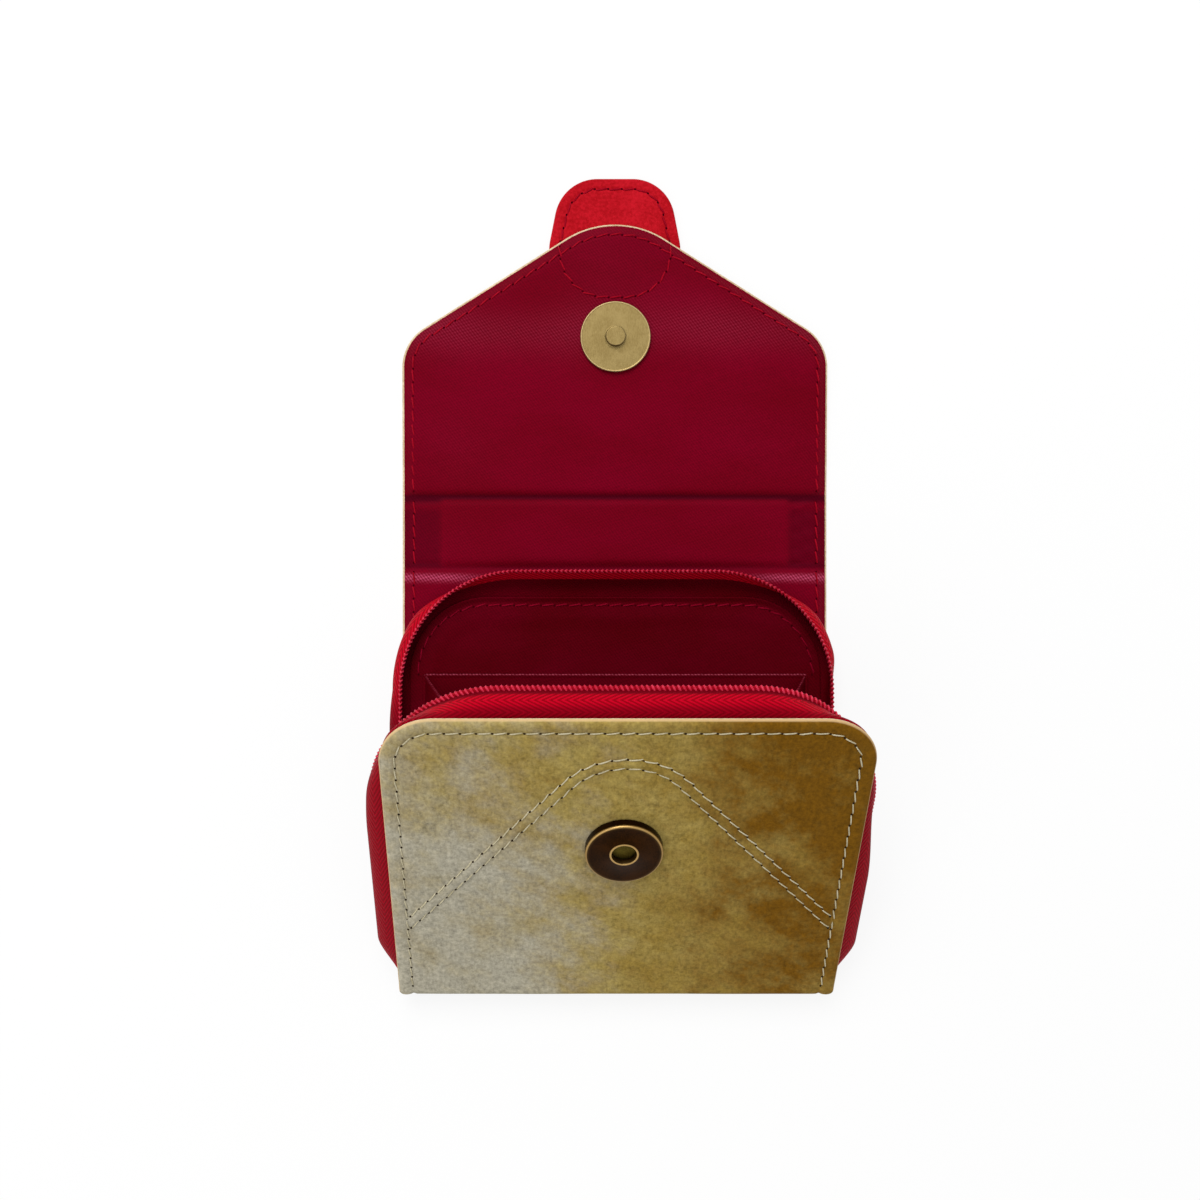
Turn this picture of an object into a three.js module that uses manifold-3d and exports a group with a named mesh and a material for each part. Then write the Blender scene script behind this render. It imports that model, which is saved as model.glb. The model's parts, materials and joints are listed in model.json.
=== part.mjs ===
// Zip-around envelope coin purse, lying open on its back with the flap laid out flat.
// Millimetres, +Z up, +Y towards the tip of the flap, +X to the right.
// The origin is the centre of the back panel's outer face.
//
// The cover is one long strip of panels that fold at creases. Every panel has its own frame:
// y runs along the strip away from the back panel, z = 0 is the lined inner face, and the
// plies lie below it, with the outer skin lowest.

import * as THREE from 'three';
import { mergeVertices } from 'three/addons/utils/BufferGeometryUtils.js';
import Module from 'manifold-3d';

const wasm = await Module();
wasm.setup();

// Cover panels
const WIDTH = 110;
const BACK_LENGTH = 92;
const FRONT_SHORTFALL = 3;
const BOTTOM_SPINE_LENGTH = 15;
const TOP_SPINE_EASE = 0.8;
const FLAP_SHOULDER = 40.1;
const FLAP_SLOPE = 32;
const FLAP_SHOULDER_RADIUS = 12;
const FLAP_TIP_RADIUS = 24;
const FRONT_CORNER_RADIUS = 12.5;
const SQUARE_CORNER_RADIUS = 1;
const CREASE_GAP = 0.6;

// Fold of the two lower creases as the purse lies open, in degrees from a straight strip
const BOTTOM_SPINE_FOLD = 20;
const FRONT_FOLD = 125;

// Plies of a panel
const SKIN_THICKNESS = 0.9;
const BOARD_THICKNESS = 0.6;
const LINING_THICKNESS = 0.5;
const PLY_GAP = 0.2;
const LINING_INSET = 1.1;
const BOARD_INSET = 3;
const TOP_SPINE_BOARD_INSET = 10.25;
const SPINE_BOARD_CREASE_INSET = 1.5;
const SKIN_EDGE_RADIUS = 0.35;
const ROLLED_EDGE_RADIUS = 0.75;
const ROLLED_EDGE_WIDTH = 2.2;

// Raised welt between the two chevron rows on the front panel
const WELT_APEX_FROM_TOP = 11;
const WELT_SLOPE = 50;
const WELT_APEX_RADIUS = 18;
const WELT_WIDTH = 2.6;
const WELT_HEIGHT = 0.35;
const WELT_END_INSET = 4.4;
const WELT_ROOT = 0.25;

// Pull tab on the tip of the flap
const TAB_WIDTH = 34;
const TAB_TOP_WIDTH = 27.2;
const TAB_LENGTH = 33.7;
const TAB_OVERHANG = 12;
const TAB_TAPER_LENGTH = 17;
const TAB_TOP_RADIUS = 11;
const TAB_SHOULDER_RADIUS = 12;
const TAB_FOOT_RADIUS = 14.5;
const TAB_THICKNESS = 1.5;
const TAB_EDGE_RADIUS = 0.5;

// Magnetic snap
const FLAP_SNAP_REACH = 41;
const FLAP_CLOSED_LIFT = 6;
const SNAP_DIAMETER = 18;
const DISC_THICKNESS = 1.1;
const DISC_RIM_WIDTH = 1.3;
const DISC_RIM_HEIGHT = 0.3;
const STUD_DIAMETER = 5;
const STUD_HEIGHT = 1.4;
const STUD_EDGE = 0.3;
const STUD_CLEARANCE = 0.65;
const CUP_HEIGHT = 2.3;
const CUP_WALL = 0.5;
const CUP_EDGE = 0.5;
const THROAT_WALL = 0.4;
const SNAP_BASE_THICKNESS = 0.5;
const WASHER_DIAMETER = 15;
const WASHER_THICKNESS = 0.4;
const PRONG_WIDTH = 3;
const PRONG_THICKNESS = 0.4;
const PRONG_MARGIN = 0.45;
const PRONG_ROOT = 0.3;
const PRONG_CLEARANCE = 0.25;
const SNAP_GAP = 0.25;

// Zip
const TAPE_INSET = 1.2;
const TAPE_THICKNESS = 0.6;
const TAPE_FLANGE = 4.5;
const BACK_TAPE_TOP_INSET = 8;
const BACK_TAPE_CORNER = 18;
const BACK_CHAIN_TOP_INSET = 1.4;
const BACK_CHAIN_FLARE = 0.8;
const BACK_CHAIN_CORNER = 30;
const FRONT_CHAIN_TOP_FLARE = 2.9;
const FRONT_CHAIN_FLARE = 6.2;
const FRONT_CHAIN_CORNER = 27;
const CHAIN_HEIGHT = 6.4;
const CHAIN_END_HEIGHT = 2.6;
const CHAIN_TAPER = 15;
const ZIP_END_INSET = 6;
const COIL_RADIUS = 0.95;
const COIL_WAIST = 0.66;
const COIL_PITCH = 2.4;
const COIL_SIDES = 6;
const COIL_GAP = 0.3;
const STOP_LENGTH = 2;
const STOP_SIZE = 2.2;
const STOP_CORNER_RADIUS = 0.6;

// Zip slider and its pull
const SLIDER_FROM_BOTTOM = 26;
const SLIDER_LENGTH = 8.5;
const SLIDER_NOSE_HEIGHT = 7.6;
const SLIDER_TAIL_HEIGHT = 6.4;
const SLIDER_PLATE = 0.8;
const SLIDER_CORNER_RADIUS = 1;
const SLIDER_COIL_CLEARANCE = 0.4;
const SLIDER_TAPE_CLEARANCE = 0.3;
const SLIDER_LIP = 0.6;
const SLIDER_WEDGE_LENGTH = 2.2;
const SLIDER_WEDGE_HEIGHT = 1.3;
const SLIDER_OFFSET = 0.6;
const BRIDGE_LENGTH = 5;
const BRIDGE_WIDTH = 1.6;
const BRIDGE_BAR = 0.7;
const PULL_LENGTH = 17;
const PULL_WIDTH = 5;
const PULL_THICKNESS = 0.9;
const PULL_RAIL = 0.7;
const PULL_CROSSBAR = 1;
const PULL_CLEARANCE = 0.3;
const PULL_EYE_SLACK = 0.5;
const PULL_NECK_RADIUS = 0.6;
const PULL_END_RADIUS = 1;
const METAL_EDGE_RADIUS = 0.25;

// Compartment
const WALL_THICKNESS = 0.6;
const POCKET_THICKNESS = 0.5;
const POCKET_TOP_INSET = 29;
const POCKET_SIDE_INSET = 3.4;
const POCKET_FOOT_INSET = 2;
const WALL_FOOT_INSET = 1.2;
const GUSSET_THICKNESS = 0.5;
const GUSSET_SIDE_INSET = 1;
const GUSSET_FRONT_FOOT = 6;
const GUSSET_FRONT_TOP_INSET = 27;
const GUSSET_FOLD_FOOT = 2;
const GUSSET_FOLD_TOP = 14;

// Facets
const CORNER_SEGMENTS = 4;
const SMALL_CORNER_SEGMENTS = 1;
const ROUND_SEGMENTS = 28;
const EDGE_SEGMENTS = 2;
const HALF_STATIONS = 40;
const RINGS_PER_TURN = 2;
const SAMPLES_PER_TURN = 8;
const GUSSET_STATIONS = 6;
const MERGE_TOLERANCE = 1e-4;
const MAX_EDGE_SHARE = 0.45;
const QUARTER_TURN = Math.PI / 2;

// Worked out from the driving dimensions
const HALF_WIDTH = WIDTH / 2;
const HALF_BACK = BACK_LENGTH / 2;
const HALF_GAP = CREASE_GAP / 2;
const PANEL_THICKNESS = SKIN_THICKNESS + BOARD_THICKNESS + LINING_THICKNESS + 2 * PLY_GAP;
const FRONT_LENGTH = BACK_LENGTH - FRONT_SHORTFALL;
const TOP_SPINE_LENGTH = BOTTOM_SPINE_LENGTH + PANEL_THICKNESS + TOP_SPINE_EASE;
const SKIN_LEVEL = -PANEL_THICKNESS;
const BOARD_LEVEL = SKIN_LEVEL + SKIN_THICKNESS + PLY_GAP;
const LINING_LEVEL = -LINING_THICKNESS;
const INNER_LEVEL = PLY_GAP;
const SNAP_RADIUS = SNAP_DIAMETER / 2;
const STUD_BORE = STUD_DIAMETER / 2 + SNAP_GAP;
const PRONG_REACH = STUD_BORE + PRONG_MARGIN;
const THROAT_RADIUS = STUD_DIAMETER / 2 + STUD_CLEARANCE;
const FRONT_SNAP_REACH = BACK_LENGTH - FLAP_SNAP_REACH * Math.cos(radians(FLAP_CLOSED_LIFT));
const FLAP_APEX = FLAP_SHOULDER + HALF_WIDTH * Math.tan(radians(FLAP_SLOPE));
const FLAP_TIP = FLAP_APEX - FLAP_TIP_RADIUS * (1 / Math.cos(radians(FLAP_SLOPE)) - 1);
const TAB_TOP = FLAP_TIP + TAB_OVERHANG;
const TAB_FOOT = TAB_TOP - TAB_LENGTH;
const TAB_DEPTH = TAB_THICKNESS + PLY_GAP;
const FLAP_FOLD = THREE.MathUtils.radToDeg(Math.atan2(TAB_DEPTH, TAB_FOOT));
const BRIDGE_EYE_HEIGHT = PULL_THICKNESS + 2 * PULL_CLEARANCE;

const FINISHES = {
  suede: { color: 0x958050, roughness: 0.85, metalness: 0 },
  crimsonLining: { color: 0x76041d, roughness: 0.6, metalness: 0 },
  darkLining: { color: 0x530209, roughness: 0.7, metalness: 0 },
  board: { color: 0xb59f7f, roughness: 0.9, metalness: 0 },
  redTape: { color: 0xa20717, roughness: 0.8, metalness: 0 },
  redNylon: { color: 0xb4304a, roughness: 0.45, metalness: 0 },
  redTab: { color: 0xbb1225, roughness: 0.6, metalness: 0 },
  brass: { color: 0xc4ad79, roughness: 0.35, metalness: 0.9 },
  darkBrass: { color: 0x3b2607, roughness: 0.4, metalness: 0.8 },
  steel: { color: 0x9a9a98, roughness: 0.4, metalness: 0.9 },
  magnet: { color: 0x35343a, roughness: 0.6, metalness: 0.5 },
};

function radians(degrees) {
  return THREE.MathUtils.degToRad(degrees);
}

// Geometry helpers

// Keeps only positions, shares vertices and drops triangles that have no area.
function clean(geometry) {
  geometry.deleteAttribute('normal');
  geometry.deleteAttribute('uv');
  const merged = mergeVertices(geometry, MERGE_TOLERANCE);
  const corners = merged.index.array;
  const kept = [];
  for (let first = 0; first < corners.length; first += 3) {
    const [a, b, c] = corners.slice(first, first + 3);
    if (a !== b && b !== c && c !== a) {
      kept.push(a, b, c);
    }
  }
  merged.setIndex(kept);
  return merged;
}

function toSolid(geometry) {
  const closed = clean(geometry);
  const mesh = new wasm.Mesh({
    numProp: 3,
    vertProperties: new Float32Array(closed.attributes.position.array),
    triVerts: new Uint32Array(closed.index.array),
  });
  return new wasm.Manifold(mesh);
}

function fromSolid(solid) {
  const mesh = solid.getMesh();
  const geometry = new THREE.BufferGeometry();
  geometry.setAttribute('position', new THREE.BufferAttribute(new Float32Array(mesh.vertProperties), 3));
  geometry.setIndex(Array.from(mesh.triVerts));
  return geometry;
}

function join(...geometries) {
  return fromSolid(geometries.map(toSolid).reduce((whole, part) => whole.add(part)));
}

function cut(geometry, ...tools) {
  return fromSolid(tools.map(toSolid).reduce((whole, tool) => whole.subtract(tool), toSolid(geometry)));
}

function box(width, length, height, x, y, z) {
  return new THREE.BoxGeometry(width, length, height).translate(x, y, z);
}

// Convex outline, counter-clockwise, whose corners are [x, y, radius].
function roundedOutline(corners) {
  const shape = new THREE.Shape();
  corners.forEach(([x, y, radius], index) => {
    const corner = new THREE.Vector2(x, y);
    const [beforeX, beforeY] = corners.at(index - 1);
    const [afterX, afterY] = corners[(index + 1) % corners.length];
    const toBefore = new THREE.Vector2(beforeX, beforeY).sub(corner).normalize();
    const toAfter = new THREE.Vector2(afterX, afterY).sub(corner).normalize();
    const halfAngle = Math.acos(toBefore.dot(toAfter)) / 2;
    const reach = radius / Math.tan(halfAngle);
    const centre = toBefore.clone().add(toAfter).setLength(radius / Math.sin(halfAngle)).add(corner);
    const start = toBefore.clone().multiplyScalar(reach).add(corner).sub(centre);
    const end = toAfter.clone().multiplyScalar(reach).add(corner).sub(centre);
    shape.absarc(centre.x, centre.y, radius, start.angle(), end.angle(), false);
  });
  shape.closePath();
  return shape;
}

// Four-sided outline whose far corners may be rounder than its near ones.
function panelOutline(halfWidth, near, far, nearRadius, farRadius) {
  return roundedOutline([
    [-halfWidth, near, nearRadius],
    [halfWidth, near, nearRadius],
    [halfWidth, far, farRadius],
    [-halfWidth, far, farRadius],
  ]);
}

// Flat ply whose lower face lies at the given level.
function ply(outline, thickness, level, curveSegments = CORNER_SEGMENTS) {
  const settings = { depth: thickness, bevelEnabled: false, curveSegments };
  return new THREE.ExtrudeGeometry(outline, settings).translate(0, 0, level);
}

// Flat ply with rounded edges.
function softPly(outline, thickness, level, edgeRadius, curveSegments = CORNER_SEGMENTS) {
  const edge = Math.min(edgeRadius, MAX_EDGE_SHARE * thickness);
  const settings = {
    depth: thickness - 2 * edge,
    bevelThickness: edge,
    bevelSize: edge,
    bevelOffset: -edge,
    bevelSegments: EDGE_SEGMENTS,
    curveSegments,
  };
  return new THREE.ExtrudeGeometry(outline, settings).translate(0, 0, level + edge);
}

// Plies of the panels with square corners
function squarePly(outline, thickness, level) {
  return ply(outline, thickness, level, SMALL_CORNER_SEGMENTS);
}

function squareSkin(outline) {
  return softPly(outline, SKIN_THICKNESS, SKIN_LEVEL, SKIN_EDGE_RADIUS, SMALL_CORNER_SEGMENTS);
}

// Round hole, clockwise, made of four arcs.
function circle(radius, y) {
  const path = new THREE.Path();
  for (let angle = 2 * Math.PI; angle > 0; angle -= QUARTER_TURN) {
    path.absarc(0, y, radius, angle, angle - QUARTER_TURN, true);
  }
  return path;
}

// Revolved piece about z, from a closed profile of [radius, level].
function turned(profile, y) {
  const points = profile.map(([radius, level]) => new THREE.Vector2(radius, level));
  return new THREE.LatheGeometry(points, ROUND_SEGMENTS).rotateX(QUARTER_TURN).translate(0, y, 0);
}

// Solid disc about z.
function disc(radius, foot, top, y) {
  return turned([[0, foot], [radius, foot], [radius, top], [0, top]], y);
}

// Closed solid through rings of equally many points, with the two end rings filled by capTriangles.
function loft(rings, capTriangles) {
  const size = rings[0].length;
  const index = [];
  for (let ring = 0; ring + 1 < rings.length; ring += 1) {
    for (let side = 0; side < size; side += 1) {
      const here = ring * size + side;
      const next = ring * size + ((side + 1) % size);
      index.push(here, next, next + size, here, next + size, here + size);
    }
  }
  const last = (rings.length - 1) * size;
  for (const [a, b, c] of capTriangles) {
    index.push(a, c, b, last + a, last + b, last + c);
  }
  const positions = rings.flat().flatMap((point) => point.toArray());
  const geometry = new THREE.BufferGeometry();
  geometry.setAttribute('position', new THREE.Float32BufferAttribute(positions, 3));
  geometry.setIndex(index);
  return faceOutwards(geometry);
}

function faceOutwards(geometry) {
  const position = geometry.attributes.position;
  const corners = geometry.index.array;
  const [a, b, c] = [new THREE.Vector3(), new THREE.Vector3(), new THREE.Vector3()];
  let volume = 0;
  for (let first = 0; first < corners.length; first += 3) {
    a.fromBufferAttribute(position, corners[first]);
    b.fromBufferAttribute(position, corners[first + 1]);
    c.fromBufferAttribute(position, corners[first + 2]);
    volume += a.dot(b.cross(c));
  }
  if (volume < 0) {
    geometry.setIndex(Array.from(corners).reverse());
  }
  return geometry;
}

// End of a strip that bends once: three points out along one face and three back along the other.
const BENT_STRIP_CAP = [[0, 1, 4], [0, 4, 5], [1, 2, 3], [1, 3, 4]];

function fan(size) {
  return Array.from({ length: size - 2 }, (_, side) => [0, side + 1, side + 2]);
}

function addPiece(panel, name, geometry, finish) {
  const mesh = new THREE.Mesh(clean(geometry), new THREE.MeshStandardMaterial(FINISHES[finish]));
  mesh.name = name;
  panel.add(mesh);
  return mesh;
}

// Panel frame on a crease of its parent, folded up from the straight strip.
function addPanel(parent, crease, fold) {
  const panel = new THREE.Group();
  panel.position.set(0, crease, 0);
  panel.rotation.x = radians(fold);
  parent.add(panel);
  return panel;
}

// Outlines of the cover. The inset is from the free edges, and creaseInset from the creases.

function backOutline(inset, creaseInset) {
  const half = HALF_BACK - HALF_GAP - creaseInset;
  return panelOutline(HALF_WIDTH - inset, -half, half, SQUARE_CORNER_RADIUS, SQUARE_CORNER_RADIUS);
}

function spineOutline(inset, creaseInset, length) {
  const near = HALF_GAP + creaseInset;
  const far = length - near;
  return panelOutline(HALF_WIDTH - inset, near, far, SQUARE_CORNER_RADIUS, SQUARE_CORNER_RADIUS);
}

function frontOutline(inset, creaseInset) {
  const far = FRONT_LENGTH - inset;
  const farRadius = FRONT_CORNER_RADIUS - inset;
  return panelOutline(HALF_WIDTH - inset, HALF_GAP + creaseInset, far, SQUARE_CORNER_RADIUS, farRadius);
}

function flapOutline(inset, creaseInset) {
  const slope = radians(FLAP_SLOPE);
  const half = HALF_WIDTH - inset;
  const near = HALF_GAP + creaseInset;
  const apex = FLAP_APEX - inset / Math.cos(slope);
  const shoulder = apex - half * Math.tan(slope);
  return roundedOutline([
    [-half, near, SQUARE_CORNER_RADIUS],
    [half, near, SQUARE_CORNER_RADIUS],
    [half, shoulder, FLAP_SHOULDER_RADIUS - inset],
    [0, apex, FLAP_TIP_RADIUS - inset],
    [-half, shoulder, FLAP_SHOULDER_RADIUS - inset],
  ]);
}

// Tab that tapers towards its free end.
function tabOutline() {
  const [half, topHalf] = [TAB_WIDTH / 2, TAB_TOP_WIDTH / 2];
  const shoulder = TAB_TOP - TAB_TAPER_LENGTH;
  return roundedOutline([
    [-half, TAB_FOOT, TAB_FOOT_RADIUS],
    [half, TAB_FOOT, TAB_FOOT_RADIUS],
    [half, shoulder, TAB_SHOULDER_RADIUS],
    [topHalf, TAB_TOP, TAB_TOP_RADIUS],
    [-topHalf, TAB_TOP, TAB_TOP_RADIUS],
    [-half, shoulder, TAB_SHOULDER_RADIUS],
  ]);
}

// Two slots that the prongs of a snap pass through.
function prongPair(y, width, thickness, foot, top) {
  const [height, middle] = [top - foot, (foot + top) / 2];
  return [-1, 1].map((side) => box(thickness, width, height, side * PRONG_REACH, y, middle));
}

function prongs(y, foot, top) {
  return prongPair(y, PRONG_WIDTH, PRONG_THICKNESS, foot, top);
}

function slotted(geometry, y, level, thickness) {
  const width = PRONG_WIDTH + 2 * PRONG_CLEARANCE;
  const gap = PRONG_THICKNESS + 2 * PRONG_CLEARANCE;
  const [foot, top] = [level - PRONG_CLEARANCE, level + thickness + PRONG_CLEARANCE];
  return cut(geometry, ...prongPair(y, width, gap, foot, top));
}

function boardWithHole(outline, y) {
  outline.holes.push(circle(WASHER_DIAMETER / 2 + SNAP_GAP, y));
  return ply(outline, BOARD_THICKNESS, BOARD_LEVEL);
}

function washer(y) {
  const foot = BOARD_LEVEL + (BOARD_THICKNESS - WASHER_THICKNESS) / 2;
  const plate = disc(WASHER_DIAMETER / 2, foot, foot + WASHER_THICKNESS, y);
  return slotted(plate, y, foot, WASHER_THICKNESS);
}

// Zip halves

// Path up one side of a panel, round its far corners and down the other side.
function zipPath(halfWidth, top, corner, bottom) {
  return { halfWidth, top, corner, bottom };
}

// Point and outward direction at a share of the way from the middle of the top to a lower end.
function pathPoint(path, share, side) {
  const arcX = path.halfWidth - path.corner;
  const arcY = path.top - path.corner;
  const arcLength = path.corner * QUARTER_TURN;
  const sideLength = arcY - path.bottom;
  const distance = share * (arcX + arcLength + sideLength);
  const turn = THREE.MathUtils.clamp((distance - arcX) / path.corner, 0, QUARTER_TURN);
  const outward = new THREE.Vector3(side * Math.sin(turn), Math.cos(turn), 0);
  const straight = Math.min(distance, arcX);
  const down = Math.max(distance - arcX - arcLength, 0);
  const point = new THREE.Vector2(
    side * (straight + path.corner * Math.sin(turn)),
    arcY + path.corner * Math.cos(turn) - down,
  );
  return { point, outward };
}

// Sewn edge, chain and free tape edge, from the lower left end over the top to the lower right end.
function zipRows(sewnPath, chainPath) {
  const rows = [];
  for (let step = -HALF_STATIONS; step <= HALF_STATIONS; step += 1) {
    const share = Math.abs(step) / HALF_STATIONS;
    const side = step < 0 ? -1 : 1;
    const { point: sewnPoint, outward } = pathPoint(sewnPath, share, side);
    const { point: chainPoint } = pathPoint(chainPath, share, side);
    const fullness = THREE.MathUtils.smoothstep(chainPoint.y - chainPath.bottom, 0, CHAIN_TAPER);
    const sewn = new THREE.Vector3(sewnPoint.x, sewnPoint.y, INNER_LEVEL);
    const chain = new THREE.Vector3(
      THREE.MathUtils.lerp(sewnPoint.x, chainPoint.x, fullness),
      chainPoint.y,
      THREE.MathUtils.lerp(CHAIN_END_HEIGHT, CHAIN_HEIGHT, fullness),
    );
    const across = chain.clone().sub(sewn);
    const clearance = COIL_RADIUS + COIL_GAP + TAPE_THICKNESS / 2;
    const edge = across.clone().setLength(across.length() - clearance).add(sewn);
    edge.z = Math.max(edge.z, INNER_LEVEL + TAPE_THICKNESS + COIL_GAP);
    rows.push({ sewn, chain, edge, outward });
  }
  return rows;
}

// Woven tape: a flange sewn to the lining and a skirt up to the chain.
function zipTape(rows) {
  const up = new THREE.Vector3(0, 0, TAPE_THICKNESS);
  const rings = rows.map(({ sewn, edge, outward }) => {
    const inner = sewn.clone().addScaledVector(outward, -TAPE_FLANGE);
    return [
      inner,
      sewn.clone().addScaledVector(outward, TAPE_THICKNESS),
      edge.clone().addScaledVector(outward, TAPE_THICKNESS),
      edge,
      sewn.clone().add(up),
      inner.clone().add(up),
    ];
  });
  return loft(rings, BENT_STRIP_CAP);
}

// Nylon coil along the chain, with a rib for each turn.
function zipCoil(rows) {
  const half = TAPE_THICKNESS / 2;
  const path = new THREE.CatmullRomCurve3(
    rows.map(({ chain, outward }) => chain.clone().addScaledVector(outward, half)),
  );
  const turns = Math.round(path.getLength() / COIL_PITCH);
  path.arcLengthDivisions = SAMPLES_PER_TURN * turns;
  path.updateArcLengths();
  const lastRing = RINGS_PER_TURN * turns;
  const rings = [];
  for (let ring = 0; ring <= lastRing; ring += 1) {
    const centre = path.getPointAt(ring / lastRing);
    const tangent = path.getTangentAt(ring / lastRing);
    const sideways = new THREE.Vector3(0, 0, 1).cross(tangent).normalize();
    const upright = tangent.clone().cross(sideways);
    const radius = ring % RINGS_PER_TURN === 0 ? COIL_WAIST : COIL_RADIUS;
    rings.push(Array.from({ length: COIL_SIDES }, (_, corner) => {
      const angle = 2 * Math.PI * corner / COIL_SIDES;
      return centre.clone()
        .addScaledVector(sideways, radius * Math.cos(angle))
        .addScaledVector(upright, radius * Math.sin(angle));
    }));
  }
  return loft(rings, fan(COIL_SIDES));
}

function addZipHalf(panel, name, sewnPath, chainPath) {
  const rows = zipRows(sewnPath, chainPath);
  addPiece(panel, `${name}_zip_tape`, zipTape(rows), 'redTape');
  addPiece(panel, `${name}_zip_coil`, zipCoil(rows), 'redNylon');
  [['left', rows[0]], ['right', rows.at(-1)]].forEach(([side, { chain, outward }]) => {
    const x = chain.x + outward.x * TAPE_THICKNESS / 2;
    const top = chain.y - COIL_GAP;
    const outline = panelOutline(
      STOP_SIZE / 2, top - STOP_LENGTH, top, STOP_CORNER_RADIUS, STOP_CORNER_RADIUS,
    );
    const level = chain.z - STOP_SIZE / 2;
    const stop = softPly(outline, STOP_SIZE, level, METAL_EDGE_RADIUS, SMALL_CORNER_SEGMENTS);
    addPiece(panel, `${name}_zip_stop_${side}`, stop.translate(x, 0, 0), 'brass');
  });
}

// Sub-assemblies

const backChain = zipPath(
  HALF_WIDTH - TAPE_INSET + BACK_CHAIN_FLARE,
  HALF_BACK - BACK_CHAIN_TOP_INSET,
  BACK_CHAIN_CORNER,
  -HALF_BACK + ZIP_END_INSET,
);

function buildBack(back) {
  addPiece(back, 'back_skin', squareSkin(backOutline(0, 0)), 'suede');
  const board = squarePly(backOutline(BOARD_INSET, BOARD_INSET), BOARD_THICKNESS, BOARD_LEVEL);
  addPiece(back, 'back_board', board, 'board');
  const lining = squarePly(backOutline(LINING_INSET, 0), LINING_THICKNESS, LINING_LEVEL);
  addPiece(back, 'back_lining', lining, 'crimsonLining');
  const sewnTop = HALF_BACK - BACK_TAPE_TOP_INSET;
  const sewnHalf = HALF_WIDTH - TAPE_INSET;
  const sewn = zipPath(sewnHalf, sewnTop, BACK_TAPE_CORNER, -HALF_BACK + ZIP_END_INSET);
  addZipHalf(back, 'back', sewn, backChain);
  const wallInset = TAPE_FLANGE + PLY_GAP;
  const wall = panelOutline(
    sewnHalf - wallInset, -HALF_BACK + WALL_FOOT_INSET, sewnTop - wallInset,
    SQUARE_CORNER_RADIUS, BACK_TAPE_CORNER - wallInset,
  );
  addPiece(back, 'compartment_wall', ply(wall, WALL_THICKNESS, INNER_LEVEL), 'darkLining');
  const pocket = panelOutline(
    sewnHalf - wallInset - POCKET_SIDE_INSET, -HALF_BACK + WALL_FOOT_INSET + POCKET_FOOT_INSET,
    HALF_BACK - POCKET_TOP_INSET, SQUARE_CORNER_RADIUS, SQUARE_CORNER_RADIUS,
  );
  const pocketLevel = INNER_LEVEL + WALL_THICKNESS + PLY_GAP;
  addPiece(back, 'inner_pocket', squarePly(pocket, POCKET_THICKNESS, pocketLevel), 'darkLining');
}

function buildSpine(spine, name, length, boardInset, liningFinish) {
  addPiece(spine, `${name}_skin`, squareSkin(spineOutline(0, 0, length)), 'suede');
  const boardOutline = spineOutline(boardInset, SPINE_BOARD_CREASE_INSET, length);
  addPiece(spine, `${name}_board`, squarePly(boardOutline, BOARD_THICKNESS, BOARD_LEVEL), 'board');
  const lining = squarePly(spineOutline(LINING_INSET, 0, length), LINING_THICKNESS, LINING_LEVEL);
  addPiece(spine, `${name}_lining`, lining, liningFinish);
}

function buildFlap(flap) {
  const skin = softPly(flapOutline(0, 0), SKIN_THICKNESS, SKIN_LEVEL, SKIN_EDGE_RADIUS);
  addPiece(flap, 'flap_skin', skin, 'suede');
  const board = boardWithHole(flapOutline(BOARD_INSET, BOARD_INSET), FLAP_SNAP_REACH);
  addPiece(flap, 'flap_board', board, 'board');
  const liningPly = ply(flapOutline(LINING_INSET, 0), LINING_THICKNESS, LINING_LEVEL);
  const lining = slotted(liningPly, FLAP_SNAP_REACH, LINING_LEVEL, LINING_THICKNESS);
  addPiece(flap, 'flap_lining', lining, 'crimsonLining');
  const tabLevel = SKIN_LEVEL - TAB_DEPTH;
  addPiece(flap, 'pull_tab', softPly(tabOutline(), TAB_THICKNESS, tabLevel, TAB_EDGE_RADIUS), 'redTab');
  buildFlapSnap(flap);
}

// Disc with a raised rim, prongs through the lining, and a stud in its centre.
function buildFlapSnap(flap) {
  const foot = INNER_LEVEL;
  const face = foot + DISC_THICKNESS - DISC_RIM_HEIGHT;
  const rim = foot + DISC_THICKNESS;
  const plate = turned([
    [STUD_BORE, foot],
    [SNAP_RADIUS, foot],
    [SNAP_RADIUS, rim - DISC_RIM_HEIGHT],
    [SNAP_RADIUS - DISC_RIM_HEIGHT, rim],
    [SNAP_RADIUS - DISC_RIM_WIDTH, rim],
    [SNAP_RADIUS - DISC_RIM_WIDTH - DISC_RIM_HEIGHT, face],
    [STUD_BORE, face],
    [STUD_BORE, foot],
  ], FLAP_SNAP_REACH);
  const prongFoot = BOARD_LEVEL + (BOARD_THICKNESS - WASHER_THICKNESS) / 2;
  const pronged = join(plate, ...prongs(FLAP_SNAP_REACH, prongFoot, foot + PRONG_ROOT));
  addPiece(flap, 'flap_snap_disc', pronged, 'brass');
  const radius = STUD_DIAMETER / 2;
  const studTop = rim + STUD_HEIGHT;
  const stud = turned([
    [0, foot],
    [radius, foot],
    [radius, studTop - STUD_EDGE],
    [radius - STUD_EDGE, studTop],
    [0, studTop],
  ], FLAP_SNAP_REACH);
  addPiece(flap, 'flap_snap_stud', stud, 'brass');
  addPiece(flap, 'flap_snap_washer', washer(FLAP_SNAP_REACH), 'steel');
}

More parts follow.
